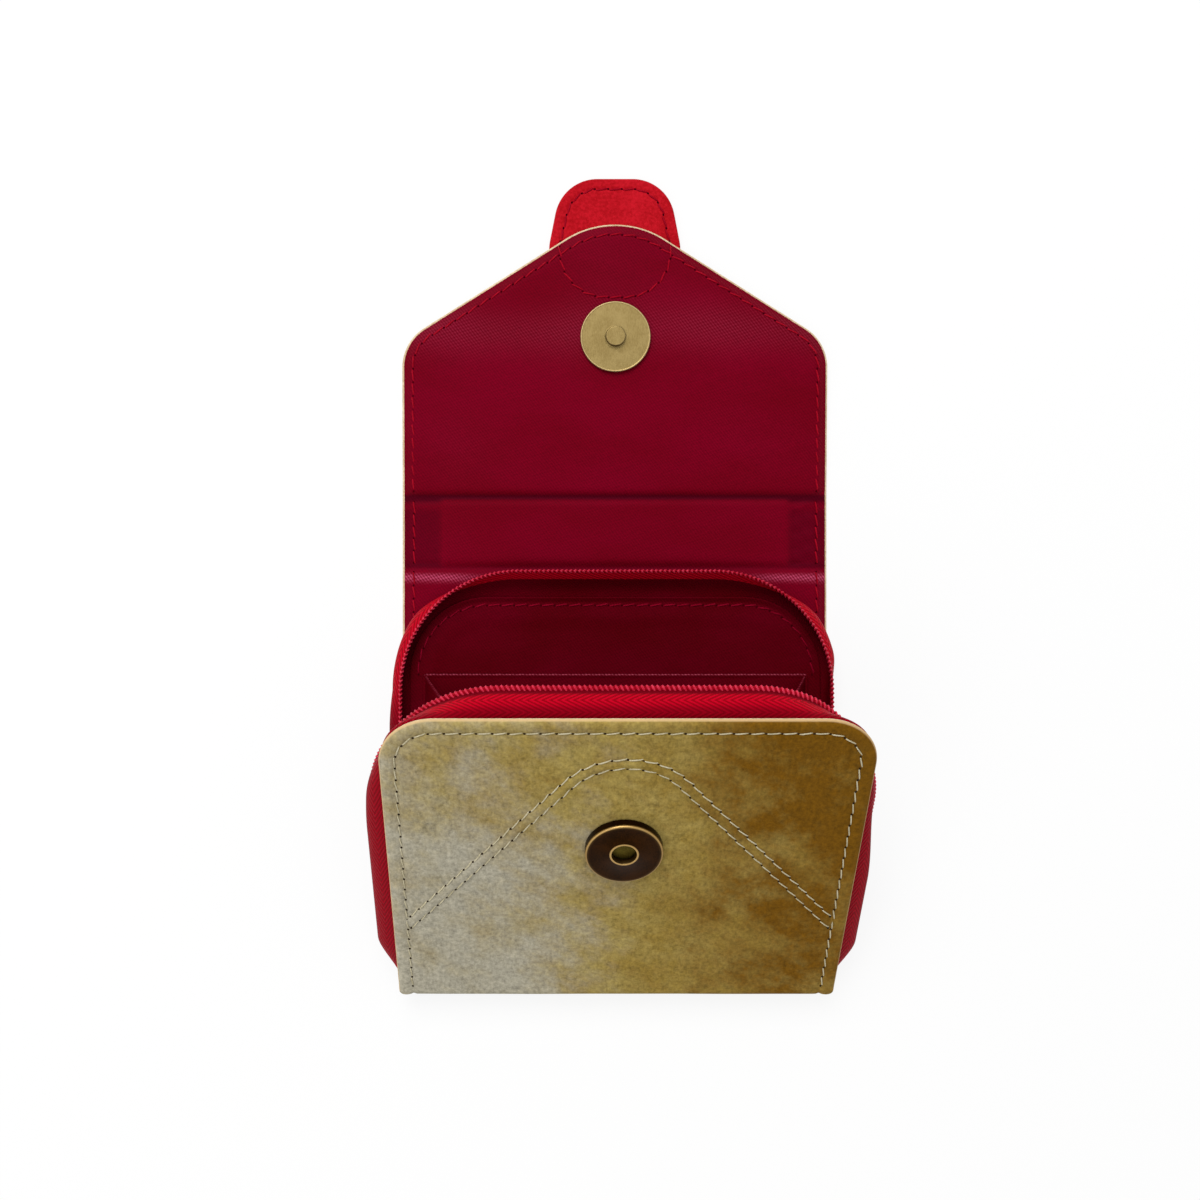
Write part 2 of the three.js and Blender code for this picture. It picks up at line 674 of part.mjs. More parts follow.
// Band between two rows of stitches, up to a round apex and down again.
function weltOutline() {
  const apex = FRONT_LENGTH - WELT_APEX_FROM_TOP;
  const centre = apex - WELT_APEX_RADIUS;
  const inner = WELT_APEX_RADIUS - WELT_WIDTH;
  const end = HALF_WIDTH - WELT_END_INSET;
  const slope = radians(WELT_SLOPE);
  const tangent = QUARTER_TURN - slope;
  const footOf = (radius) => {
    const [x, y] = [radius * Math.cos(tangent), centre + radius * Math.sin(tangent)];
    return y - (end - x) * Math.tan(slope);
  };
  const shape = new THREE.Shape();
  shape.moveTo(end, footOf(inner));
  shape.lineTo(end, footOf(WELT_APEX_RADIUS));
  shape.absarc(0, centre, WELT_APEX_RADIUS, tangent, Math.PI - tangent, false);
  shape.lineTo(-end, footOf(WELT_APEX_RADIUS));
  shape.lineTo(-end, footOf(inner));
  shape.absarc(0, centre, inner, Math.PI - tangent, tangent, true);
  shape.closePath();
  return shape;
}

function buildFront(front) {
  const skinDepth = SKIN_THICKNESS + PLY_GAP + BOARD_THICKNESS;
  const tray = softPly(frontOutline(0, 0), skinDepth, SKIN_LEVEL, ROLLED_EDGE_RADIUS);
  const bedOutline = frontOutline(ROLLED_EDGE_WIDTH, ROLLED_EDGE_WIDTH);
  const boardBed = ply(bedOutline, skinDepth, SKIN_LEVEL + SKIN_THICKNESS);
  const welt = ply(weltOutline(), WELT_HEIGHT + WELT_ROOT, SKIN_LEVEL - WELT_HEIGHT);
  const skin = join(cut(tray, boardBed), welt);
  addPiece(front, 'front_skin', slotted(skin, FRONT_SNAP_REACH, SKIN_LEVEL, SKIN_THICKNESS), 'suede');
  const boardInset = ROLLED_EDGE_WIDTH + PLY_GAP;
  const board = boardWithHole(frontOutline(boardInset, boardInset), FRONT_SNAP_REACH);
  addPiece(front, 'front_board', board, 'board');
  const lining = ply(frontOutline(LINING_INSET, 0), LINING_THICKNESS, LINING_LEVEL);
  addPiece(front, 'front_lining', lining, 'darkLining');
  const [sewnHalf, sewnTop] = [HALF_WIDTH - TAPE_INSET, FRONT_LENGTH - TAPE_INSET];
  const sewn = zipPath(sewnHalf, sewnTop, FRONT_CORNER_RADIUS - TAPE_INSET, ZIP_END_INSET);
  const chain = zipPath(
    sewnHalf + FRONT_CHAIN_FLARE, sewnTop + FRONT_CHAIN_TOP_FLARE, FRONT_CHAIN_CORNER, ZIP_END_INSET,
  );
  addZipHalf(front, 'front', sewn, chain);
  buildFrontSnap(front);
}

// Cup with a throat for the stud, a ring magnet inside it, and a base plate with prongs.
// It stands on the skin's outer face, so levels here fall away from the lining.
function buildFrontSnap(front) {
  const seat = SKIN_LEVEL - SNAP_GAP;
  const crown = seat - CUP_HEIGHT;
  const roof = crown + CUP_WALL;
  const baseTop = seat - SNAP_BASE_THICKNESS;
  const throatEnd = baseTop - SNAP_GAP;
  const bore = THROAT_RADIUS + THROAT_WALL;
  const inside = SNAP_RADIUS - CUP_WALL;
  const cup = turned([
    [THROAT_RADIUS, crown],
    [SNAP_RADIUS - CUP_EDGE, crown],
    [SNAP_RADIUS, crown + CUP_EDGE],
    [SNAP_RADIUS, seat],
    [inside, seat],
    [inside, roof],
    [bore, roof],
    [bore, throatEnd],
    [THROAT_RADIUS, throatEnd],
    [THROAT_RADIUS, crown],
  ].reverse(), FRONT_SNAP_REACH);
  addPiece(front, 'front_snap_cup', faceOutwards(clean(cup)), 'darkBrass');
  const [ringInner, ringOuter] = [bore + SNAP_GAP, inside - SNAP_GAP];
  const [ringTop, ringFoot] = [baseTop - SNAP_GAP, roof + SNAP_GAP];
  const magnet = turned([
    [ringInner, ringFoot],
    [ringOuter, ringFoot],
    [ringOuter, ringTop],
    [ringInner, ringTop],
    [ringInner, ringFoot],
  ], FRONT_SNAP_REACH);
  addPiece(front, 'front_snap_magnet', magnet, 'magnet');
  const base = disc(inside - SNAP_GAP, baseTop, seat, FRONT_SNAP_REACH);
  const prongTop = BOARD_LEVEL + (BOARD_THICKNESS + WASHER_THICKNESS) / 2;
  const pronged = join(base, ...prongs(FRONT_SNAP_REACH, seat - PRONG_ROOT, prongTop));
  addPiece(front, 'front_snap_base', pronged, 'darkBrass');
  addPiece(front, 'front_snap_washer', washer(FRONT_SNAP_REACH), 'steel');
}

// Bellows at each side: one leaf from the back wall to an inner fold, and one on to the front lining.
function buildGussets(back) {
  const wallEdge = HALF_WIDTH - TAPE_INSET - TAPE_FLANGE - PLY_GAP - GUSSET_SIDE_INSET;
  const wallLevel = INNER_LEVEL + WALL_THICKNESS + PLY_GAP;
  const spine = radians(BOTTOM_SPINE_FOLD);
  const frontCrease = new THREE.Vector3(
    0, -HALF_BACK - BOTTOM_SPINE_LENGTH * Math.cos(spine), BOTTOM_SPINE_LENGTH * Math.sin(spine),
  );
  const tilt = Math.PI - radians(FRONT_FOLD + BOTTOM_SPINE_FOLD);
  const along = new THREE.Vector3(0, Math.cos(tilt), Math.sin(tilt));
  const inward = new THREE.Vector3(0, Math.sin(tilt), -Math.cos(tilt));
  const backFoot = -HALF_BACK + WALL_FOOT_INSET + POCKET_FOOT_INSET;
  const backTop = HALF_BACK - POCKET_TOP_INSET;
  const frontTop = FRONT_LENGTH - GUSSET_FRONT_TOP_INSET;
  const lift = TAPE_THICKNESS + INNER_LEVEL + PLY_GAP;
  for (const [name, side] of [['left', -1], ['right', 1]]) {
    const thickness = new THREE.Vector3(-side * GUSSET_THICKNESS, 0, 0);
    const rings = [];
    for (let step = 0; step <= GUSSET_STATIONS; step += 1) {
      const share = step / GUSSET_STATIONS;
      const backY = THREE.MathUtils.lerp(backFoot, backTop, share);
      const onBack = new THREE.Vector3(side * wallEdge, backY, wallLevel);
      const reach = THREE.MathUtils.lerp(GUSSET_FRONT_FOOT, frontTop, share);
      const onFront = frontCrease.clone().addScaledVector(along, reach).addScaledVector(inward, lift);
      onFront.x = side * wallEdge;
      const fold = onBack.clone().add(onFront).divideScalar(2);
      fold.x -= side * THREE.MathUtils.lerp(GUSSET_FOLD_FOOT, GUSSET_FOLD_TOP, share);
      const outer = [onBack, fold, onFront];
      const inner = outer.map((point) => point.clone().add(thickness)).reverse();
      rings.push([...outer, ...inner]);
    }
    addPiece(back, `${name}_gusset`, loft(rings, BENT_STRIP_CAP), 'darkLining');
  }
}

// Slider on the right side of the back half: two plates round the chain, joined by a wedge, with a
// bridge on the outside for the pull. Its own frame has y along the chain and z away from the purse,
// and leans with the tape.
function buildSlider(back) {
  const slider = new THREE.Group();
  const chainX = backChain.halfWidth + TAPE_THICKNESS / 2;
  slider.position.set(chainX, -HALF_BACK + SLIDER_FROM_BOTTOM, CHAIN_HEIGHT);
  slider.rotation.y = QUARTER_TURN + Math.atan2(BACK_CHAIN_FLARE, CHAIN_HEIGHT - INNER_LEVEL);
  back.add(slider);
  const centre = -SLIDER_OFFSET;
  const halfLength = SLIDER_LENGTH / 2;
  const outline = roundedOutline([
    [centre - SLIDER_TAIL_HEIGHT / 2, -halfLength, SLIDER_CORNER_RADIUS],
    [centre + SLIDER_TAIL_HEIGHT / 2, -halfLength, SLIDER_CORNER_RADIUS],
    [centre + SLIDER_NOSE_HEIGHT / 2, halfLength, SLIDER_CORNER_RADIUS],
    [centre - SLIDER_NOSE_HEIGHT / 2, halfLength, SLIDER_CORNER_RADIUS],
  ]);
  const channelDepth = 2 * (COIL_RADIUS + SLIDER_COIL_CLEARANCE);
  const thickness = channelDepth + 2 * SLIDER_PLATE;
  const block = softPly(outline, thickness, -thickness / 2, METAL_EDGE_RADIUS, SMALL_CORNER_SEGMENTS);
  const channelHeight = SLIDER_TAIL_HEIGHT - 2 * SLIDER_LIP;
  const channel = box(channelHeight, 2 * SLIDER_LENGTH, channelDepth, centre, 0, 0);
  const slotDepth = TAPE_THICKNESS + 2 * SLIDER_TAPE_CLEARANCE;
  const slot = box(2 * SLIDER_NOSE_HEIGHT, 2 * SLIDER_LENGTH, slotDepth, centre, 0, 0);
  const wedgeX = -COIL_RADIUS - COIL_GAP - SLIDER_WEDGE_HEIGHT / 2;
  const wedgeY = halfLength - SLIDER_WEDGE_LENGTH / 2 - METAL_EDGE_RADIUS;
  const wedgeDepth = channelDepth + SLIDER_PLATE;
  const wedge = box(SLIDER_WEDGE_HEIGHT, SLIDER_WEDGE_LENGTH, wedgeDepth, wedgeX, wedgeY, 0);
  const plateFace = thickness / 2;
  const bridgeFoot = plateFace - SLIDER_PLATE / 2;
  const bridgeTop = plateFace + BRIDGE_EYE_HEIGHT + BRIDGE_BAR;
  const bridgeMiddle = (bridgeFoot + bridgeTop) / 2;
  const bridgeBlock = box(BRIDGE_WIDTH, BRIDGE_LENGTH, bridgeTop - bridgeFoot, centre, 0, bridgeMiddle);
  const eyeLevel = plateFace + BRIDGE_EYE_HEIGHT / 2;
  const eyeLength = BRIDGE_LENGTH - 2 * BRIDGE_BAR;
  const eye = box(2 * BRIDGE_WIDTH, eyeLength, BRIDGE_EYE_HEIGHT, centre, 0, eyeLevel);
  const body = join(cut(block, channel, slot), wedge, cut(bridgeBlock, eye));
  addPiece(slider, 'zip_slider', body, 'brass');
  buildPull(slider, centre, eyeLevel);
}

// Pull that lies flat against the slider, with its crossbar under the bridge and its eye round a leg.
function buildPull(slider, centre, level) {
  const pull = new THREE.Group();
  pull.position.set(centre, 0, level);
  slider.add(pull);
  const eyeWidth = BRIDGE_WIDTH + 2 * PULL_CLEARANCE;
  const halfNeck = eyeWidth / 2 + PULL_RAIL;
  const near = -PULL_CROSSBAR / 2;
  const outline = roundedOutline([
    [-halfNeck, near, PULL_NECK_RADIUS],
    [halfNeck, near, PULL_NECK_RADIUS],
    [PULL_WIDTH / 2, near + PULL_LENGTH, PULL_END_RADIUS],
    [-PULL_WIDTH / 2, near + PULL_LENGTH, PULL_END_RADIUS],
  ]);
  const foot = -PULL_THICKNESS / 2;
  const blade = softPly(outline, PULL_THICKNESS, foot, METAL_EDGE_RADIUS, SMALL_CORNER_SEGMENTS);
  const bridgeReach = Math.hypot(BRIDGE_LENGTH / 2, BRIDGE_EYE_HEIGHT / 2 + BRIDGE_BAR);
  const [eyeNear, eyeFar] = [PULL_CROSSBAR / 2, bridgeReach + PULL_EYE_SLACK];
  const eyeMiddle = (eyeNear + eyeFar) / 2;
  const eye = box(eyeWidth, eyeFar - eyeNear, 2 * PULL_THICKNESS, 0, eyeMiddle, 0);
  addPiece(pull, 'zip_pull', cut(blade, eye), 'brass');
}

const purse = new THREE.Group();

const back = new THREE.Group();
back.position.set(0, 0, PANEL_THICKNESS);
purse.add(back);
const topSpine = addPanel(back, HALF_BACK, 0);
const flap = addPanel(topSpine, TOP_SPINE_LENGTH, FLAP_FOLD);
const lowerEnd = new THREE.Group();
lowerEnd.rotation.z = Math.PI;
back.add(lowerEnd);
const bottomSpine = addPanel(lowerEnd, HALF_BACK, BOTTOM_SPINE_FOLD);
const front = addPanel(bottomSpine, BOTTOM_SPINE_LENGTH, FRONT_FOLD);

buildBack(back);
buildGussets(back);
buildSpine(topSpine, 'top_spine', TOP_SPINE_LENGTH, TOP_SPINE_BOARD_INSET, 'crimsonLining');
buildFlap(flap);
buildSpine(bottomSpine, 'bottom_spine', BOTTOM_SPINE_LENGTH, BOARD_INSET, 'darkLining');
buildFront(front);
buildSlider(back);

export default purse;
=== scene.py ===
"""Looks of a zip-around envelope coin purse that lies open on its back.

Sizes are in millimetres and become metres where a mesh is made. A panel of the cover has flat
coordinates: x across, reach along the strip from a crease, and level above the lined face, so the
plies of a panel lie at levels below zero and its outer face is the lowest.
"""

import json
import logging
import math
from collections.abc import Callable, Sequence
from dataclasses import dataclass, field
from enum import Enum
from functools import partial

import bmesh
import bpy
import numpy as np
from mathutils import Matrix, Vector


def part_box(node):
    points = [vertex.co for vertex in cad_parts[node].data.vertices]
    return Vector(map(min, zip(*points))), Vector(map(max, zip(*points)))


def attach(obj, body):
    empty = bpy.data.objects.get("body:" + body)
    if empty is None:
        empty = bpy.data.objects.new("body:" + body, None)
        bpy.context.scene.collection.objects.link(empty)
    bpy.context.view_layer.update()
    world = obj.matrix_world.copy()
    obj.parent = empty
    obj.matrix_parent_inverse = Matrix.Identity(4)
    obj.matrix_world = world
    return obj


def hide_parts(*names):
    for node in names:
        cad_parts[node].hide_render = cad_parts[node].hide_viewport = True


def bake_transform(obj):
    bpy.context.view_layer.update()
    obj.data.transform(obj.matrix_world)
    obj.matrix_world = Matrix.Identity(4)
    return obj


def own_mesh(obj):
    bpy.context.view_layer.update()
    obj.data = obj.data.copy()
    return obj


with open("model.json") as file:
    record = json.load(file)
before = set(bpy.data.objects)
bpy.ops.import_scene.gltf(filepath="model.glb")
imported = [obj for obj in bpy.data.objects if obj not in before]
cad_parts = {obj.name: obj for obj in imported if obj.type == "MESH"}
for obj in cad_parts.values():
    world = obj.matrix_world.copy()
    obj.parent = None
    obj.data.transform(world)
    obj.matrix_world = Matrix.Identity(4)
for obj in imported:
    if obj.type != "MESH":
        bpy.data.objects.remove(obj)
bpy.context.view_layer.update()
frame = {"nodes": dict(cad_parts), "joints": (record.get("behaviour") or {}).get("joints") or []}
LOG = logging.getLogger("coin_purse")

MM = 0.001
MERGE_DISTANCE = 1e-6
SHARP_ANGLE = math.radians(50)
QUARTER_TURN = math.pi / 2

Array = np.ndarray
Material = bpy.types.Material
Piece = bpy.types.Object
Colour = tuple[float, float, float, float]
Place = tuple[float, float, float]
Profile = list[tuple[float, float, float]]


class Body(Enum):
    """Moving bodies of the purse."""

    BACK = "back"
    TOP_SPINE = "top_spine"
    FLAP = "flap"
    BOTTOM_SPINE = "bottom_spine"
    FRONT = "front"


class Slot(Enum):
    """Finishes that the record names for new pieces."""

    SUEDE = "suede"
    CRIMSON = "crimson_lining"
    DARK = "dark_lining"
    TAPE = "red_tape"
    NYLON = "red_nylon"
    TAB = "red_tab"
    BRASS = "brass"
    DARK_BRASS = "dark_brass"


class Thread(Enum):
    """Sewing threads."""

    PALE = "pale"
    RED = "red"
    DARK = "dark"


class Hold(Enum):
    """Ways in which a sheet of cloth is held."""

    STRETCHED = "stretched"
    LAID = "laid"
    FOLDED = "folded"


# Numeric helpers


def smoothstep(value: Array, low: float, high: float) -> Array:
    """Returns 0 below low, 1 above high and a smooth rise between them."""
    share = np.clip((value - low) / (high - low), 0.0, 1.0)
    return share * share * (3 - 2 * share)


def bell(value: Array, width: float) -> Array:
    """Returns a bell curve of height 1 round zero."""
    return np.exp(-np.square(value / width))


def unit(vectors: Array) -> Array:
    """Returns vectors of the same directions and of length 1."""
    return vectors / np.linalg.norm(vectors, axis=-1, keepdims=True)


def full_turn(count: int) -> Array:
    """Returns evenly spaced angles of a full turn."""
    return np.linspace(0, 2 * np.pi, count, endpoint=False)


def run_along(points: Array) -> Array:
    """Returns how far each point of a path, or of each path in a grid, lies from the path's start."""
    steps = np.linalg.norm(np.diff(points, axis=-2), axis=-1)
    return np.concatenate([np.zeros((*steps.shape[:-1], 1)), np.cumsum(steps, axis=-1)], axis=-1)


def srgb(*channels: int) -> Colour:
    """Returns a colour picked from a screen, as red, green and blue up to 255, in linear light."""
    shares = [channel / 255 for channel in channels]
    return *[s / 12.92 if s <= 0.04045 else ((s + 0.055) / 1.055) ** 2.4 for s in shares], 1.0


def joint_point(name: str) -> Array:
    """Returns a joint's place at rest."""
    joint = next(j for j in frame["joints"] if j["name"] == name)
    return np.array(joint["pos_m"]) / MM


def soft_wave(x: Array, y: Array, length: float) -> Array:
    """Makes a gentle uneven swell.

    Args:
        x: Places across the panel.
        y: Places along the panel.
        length: Size of one swell.

    Returns:
        Heights between about -1 and 1.
    """
    first = np.sin(x / length + 1.3) * np.sin(y / (1.3 * length) + 0.4)
    second = np.sin((x + 0.8 * y) / (0.6 * length) + 2.1) * np.sin((y - 0.5 * x) / (0.7 * length))
    return 0.6 * first + 0.4 * second


# Driving sizes

HALF_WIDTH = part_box("back_skin")[1].x / MM
HALF_BACK = joint_point("top_spine_fold")[1]
TOP_SPINE_LENGTH = joint_point("flap_fold")[1] - HALF_BACK
PANEL_THICKNESS = joint_point("top_spine_fold")[2]
BOTTOM_SPINE_LENGTH = 15.0
FRONT_LENGTH = 89.0
FRONT_CORNER_RADIUS = 12.5
BOTTOM_SPINE_FOLD = 20.0
FRONT_FOLD = 125.0
FLAP_SHOULDER = 40.1
FLAP_SLOPE = math.radians(32)
FLAP_SHOULDER_RADIUS = 12.0
FLAP_TIP_RADIUS = 24.0
FLAP_CLOSED_LIFT = math.radians(6)
FLAP_SNAP_REACH = 41.0
TAB_LENGTH = 33.7
TAB_OVERHANG = 12.0
TAB_THICKNESS = 1.5
PLY_GAP = 0.2
SKIN_THICKNESS = 0.9
LINING_INSET = 0.55
STITCH_END_GAP = 2.0

HALF_FOOT = BOTTOM_SPINE_LENGTH / 2
HALF_TOP = TOP_SPINE_LENGTH / 2
FLAP_START = HALF_BACK + TOP_SPINE_LENGTH
OUTER_LEVEL = -PANEL_THICKNESS
FLESH_LEVEL = OUTER_LEVEL + SKIN_THICKNESS
FRONT_SNAP_REACH = 2 * HALF_BACK - FLAP_SNAP_REACH * math.cos(FLAP_CLOSED_LIFT)
FLAP_APEX = FLAP_SHOULDER + HALF_WIDTH * math.tan(FLAP_SLOPE)
FLAP_TIP = FLAP_APEX - FLAP_TIP_RADIUS * (1 / math.cos(FLAP_SLOPE) - 1)
TAB_TOP = FLAP_TIP + TAB_OVERHANG
TAB_FOOT = TAB_TOP - TAB_LENGTH
FLAP_FOLD = math.degrees(math.atan2(TAB_THICKNESS + PLY_GAP, TAB_FOOT))


# Panels and outlines


@dataclass(frozen=True)
class Crease:
    """Fold line of the cover, with the panel before it and the panel after it.

    The strip runs away from the back panel, to +Y on side 1 and to -Y on side -1. It rises at an
    angle before the crease, and folds up by another angle after it.
    """

    joint: str
    before: Body
    after: Body
    side: int
    rise: float
    fold: float
    ease: float = 1.2
    upright: bool = False
    blend_reach: float = 3.0

    def place(self, x: Array, reach: Array, level: Array) -> Array:
        """Bends flat coordinates over the crease.

        Args:
            x: Places across the strip.
            reach: Places along the strip.
            level: Heights above the lined face.

        Returns:
            The purse's own coordinates.
        """
        turn = np.radians(self.rise + self.fold * smoothstep(reach, -self.ease, self.ease))
        _, y, z = joint_point(self.joint)
        across = y + self.side * (reach * np.cos(turn) - level * np.sin(turn))
        return np.stack([x, across, z + reach * np.sin(turn) + level * np.cos(turn)], axis=-1)

    def blend(self, piece: Piece) -> None:
        """Bakes the placement of a finished piece that lies across the crease.

        Args:
            piece: A piece that lies across the crease.
        """
        direction = np.array([0, 0, 1]) if self.upright else np.array([0, self.side, 0])
        middle = joint_point(self.joint)
        start = (middle - self.blend_reach * direction) * MM
        end = (middle + self.blend_reach * direction) * MM
        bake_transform(piece)


TOP_CREASE = Crease("top_spine_fold", Body.BACK, Body.TOP_SPINE, 1, 0, 0)
FLAP_CREASE = Crease("flap_fold", Body.TOP_SPINE, Body.FLAP, 1, 0, FLAP_FOLD)
BOTTOM_CREASE = Crease("bottom_spine_fold", Body.BACK, Body.BOTTOM_SPINE, -1, 0, BOTTOM_SPINE_FOLD)
FRONT_CREASE = Crease(
    "front_fold", Body.BOTTOM_SPINE, Body.FRONT, -1, BOTTOM_SPINE_FOLD, FRONT_FOLD,
    upright=True, blend_reach=1.2,
)


def rounded(corners: Sequence[Place], steps: int = 24) -> Array:
    """Draws a polyline through corners, with arcs in place of its inner ones.

    Args:
        corners: Each corner's x, y and radius. The two ends keep their places.
        steps: Steps of an arc, an even number so that its middle is a point.

    Returns:
        The points of the polyline.
    """
    points = [np.array(corners[0][:2], float)]
    for before, here, after in zip(corners, corners[1:], corners[2:]):
        corner = np.array(here[:2], float)
        back = unit(np.array(before[:2], float) - corner)
        ahead = unit(np.array(after[:2], float) - corner)
        half = math.acos(float(back @ ahead)) / 2
        centre = corner + unit(back + ahead) * here[2] / math.sin(half)
        start = corner + back * here[2] / math.tan(half) - centre
        end = corner + ahead * here[2] / math.tan(half) - centre
        first = math.atan2(start[1], start[0])
        turn = (math.atan2(end[1], end[0]) - first + math.pi) % (2 * math.pi) - math.pi
        for step in range(steps + 1):
            angle = first + turn * step / steps
            points.append(centre + here[2] * np.array([math.cos(angle), math.sin(angle)]))
    points.append(np.array(corners[-1][:2], float))
    return np.array(points)


def line_distance(x: Array, y: Array, line: Array) -> Array:
    """Measures how far points lie from a polyline.

    Args:
        x: First coordinates of the points.
        y: Second coordinates of the points.
        line: Points of the polyline.

    Returns:
        The distances.
    """
    nearest = np.full(np.shape(x), np.inf)
    for (x0, y0), (x1, y1) in zip(line, line[1:]):
        dx, dy = x1 - x0, y1 - y0
        squared = dx * dx + dy * dy
        if squared == 0:
            continue
        share = np.clip(((x - x0) * dx + (y - y0) * dy) / squared, 0, 1)
        nearest = np.minimum(nearest, np.hypot(x - x0 - share * dx, y - y0 - share * dy))
    return nearest


@dataclass(frozen=True)
class Outline:
    """Right half of a mirrored outline, from its near end to its far end.

    A free end is a cut edge of the piece, and the other ends are where the strip goes on.
    """

    side: Array
    free_start: bool = False
    free_end: bool = False

    def half_width(self, reach: Array) -> Array:
        """Returns half the width at each reach."""
        return np.interp(reach, self.side[:, 1], self.side[:, 0])

    def rim_line(self) -> Array:
        """Returns the free edge of the right half as a polyline."""
        start = [[0.0, self.side[0, 1]]] if self.free_start else []
        end = [[0.0, self.side[-1, 1]]] if self.free_end else []
        return np.array([*start, *self.side, *end])

    def rim(self, x: Array, reach: Array) -> Array:
        """Returns how far points lie from the free edge."""
        return line_distance(np.abs(x), reach, self.rim_line())

    def loop(self) -> Array:
        """Returns the whole free edge, from the right side over the far end to the left side."""
        right = self.rim_line()
        left = right[::-1] * (-1, 1)
        return np.concatenate([right, left[1:] if right[-1, 0] == 0 else left])


def strip_outline(inset: float, near: float, far: float) -> Outline:
    """Returns a straight stretch of the cover."""
    half = HALF_WIDTH - inset
    return Outline(np.array([[half, near], [half, far]]))


def front_outline(inset: float, near: float) -> Outline:
    """Draws the front panel with its two round corners.

    Args:
        inset: Distance inside the edge of the leather.
        near: Reach at which the panel begins.

    Returns:
        The outline.
    """
    half, far = HALF_WIDTH - inset, FRONT_LENGTH - inset
    corners = [(half, near, 0), (half, far, FRONT_CORNER_RADIUS - inset), (0, far, 0)]
    return Outline(rounded(corners)[:-1], free_end=True)


def flap_outline(inset: float, near: float) -> Outline:
    """Draws the flap with its sloping sides and round tip.

    Args:
        inset: Distance inside the edge of the leather.
        near: Reach at which the flap begins.

    Returns:
        The outline.
    """
    half = HALF_WIDTH - inset
    apex = FLAP_APEX - inset / math.cos(FLAP_SLOPE)
    shoulder = apex - half * math.tan(FLAP_SLOPE)
    line = rounded([
        (half, near, 0),
        (half, shoulder, FLAP_SHOULDER_RADIUS - inset),
        (0, apex, FLAP_TIP_RADIUS - inset),
        (-half, shoulder, 0),
    ])
    side = line[line[:, 0] > MERGE_DISTANCE]
    return Outline(np.vstack([side, [0, FLAP_TIP - inset]]))


def pocket_outline(half: float, foot: float, top: float, foot_radius: float, top_radius: float) -> Outline:
    """Returns a piece with four round corners and no crease."""
    corners = [(0, foot, 0), (half, foot, foot_radius), (half, top, top_radius), (0, top, 0)]
    return Outline(rounded(corners)[1:-1], free_start=True, free_end=True)


# Meshes


@dataclass
class MeshParts:
    """Points, faces and surface data of a mesh in the making."""

    points: Array
    faces: list[Sequence[int]]
    finish_index: list[int] | None = None
    flat: Array | None = None
    values: dict[str, Array] = field(default_factory=dict)


def add_object(name: str, data: bpy.types.ID) -> Piece:
    """Adds an object to the scene.

    Args:
        name: Name of the object.
        data: Its mesh, lamp or camera.

    Returns:
        The object.
    """
    made = bpy.data.objects.new(name, data)
    bpy.context.scene.collection.objects.link(made)
    return made


def make_piece(name: str, parts: MeshParts, finishes: Sequence[Material]) -> Piece:
    """Makes a smooth mesh object whose shared points are merged and whose faces point outwards.

    Args:
        name: Name of the piece.
        parts: What the mesh is made of, in millimetres.
        finishes: Materials in the order of the finish indices.

    Returns:
        The object, linked to the scene.
    """
    mesh = bpy.data.meshes.new(name)
    mesh.from_pydata((parts.points.reshape(-1, 3) * MM).tolist(), [], [list(f) for f in parts.faces])
    for finish in finishes:
        mesh.materials.append(finish)
    if parts.finish_index is not None:
        mesh.polygons.foreach_set("material_index", parts.finish_index)
    if parts.flat is not None:
        corner_points = np.zeros(len(mesh.loops), int)
        mesh.loops.foreach_get("vertex_index", corner_points)
        layer = mesh.uv_layers.new(name="flat")
        layer.data.foreach_set("uv", parts.flat.reshape(-1, 2)[corner_points].astype(np.float32).ravel())
    for key, values in parts.values.items():
        attribute = mesh.attributes.new(key, "FLOAT", "POINT")
        attribute.data.foreach_set("value", values.astype(np.float32).ravel())
    shell = bmesh.new()
    shell.from_mesh(mesh)
    bmesh.ops.remove_doubles(shell, verts=shell.verts, dist=MERGE_DISTANCE)
    bmesh.ops.recalc_face_normals(shell, faces=shell.faces)
    shell.to_mesh(mesh)
    shell.free()
    mesh.shade_smooth()
    mesh.set_sharp_from_angle(angle=SHARP_ANGLE)
    return add_object(name, mesh)


def grid_faces(rows: int, columns: int, first: int = 0, closed: bool = False) -> list[tuple[int, ...]]:
    """Joins a grid of points, row by row.

    Args:
        rows: Rows of points.
        columns: Points in a row.
        first: Index of the first point.
        closed: Whether each row is a ring.

    Returns:
        The quads.
    """
    faces = []
    for row in range(rows - 1):
        for column in range(columns if closed else columns - 1):
            after = (column + 1) % columns
            here = first + row * columns
            faces.append((here + column, here + after, here + columns + after, here + columns + column))
    return faces


def end_caps(count: int, size: int) -> list[tuple[int, ...]]:
    """Returns the faces that fill the first and the last of a number of rings."""
    return [tuple(range(size)), tuple(range((count - 1) * size, count * size))]


def rings_piece(
    name: str, rings: Array, finish: Material, values: dict[str, Array] | None = None,
    capped: bool = True,
) -> Piece:
    """Makes a closed piece through rings of points.

    Args:
        name: Name of the piece.
        rings: Points by ring, in millimetres.
        finish: Material of the piece.
        values: Surface data for each point.
        capped: Whether the end rings are filled, or else joined to each other.

    Returns:
        The piece.
    """
    count, size = rings.shape[:2]
    if capped:
        faces = grid_faces(count, size, closed=True) + end_caps(count, size)
    else:
        wrapped = grid_faces(count + 1, size, closed=True)
        faces = [tuple(index % (count * size) for index in face) for face in wrapped]
    return make_piece(name, MeshParts(rings, faces, values=values or {}), [finish])


@dataclass(frozen=True)
class Flat:
    """Points of a panel: places across and along it, and distances to its free edge."""

    x: Array
    reach: Array
    rim: Array


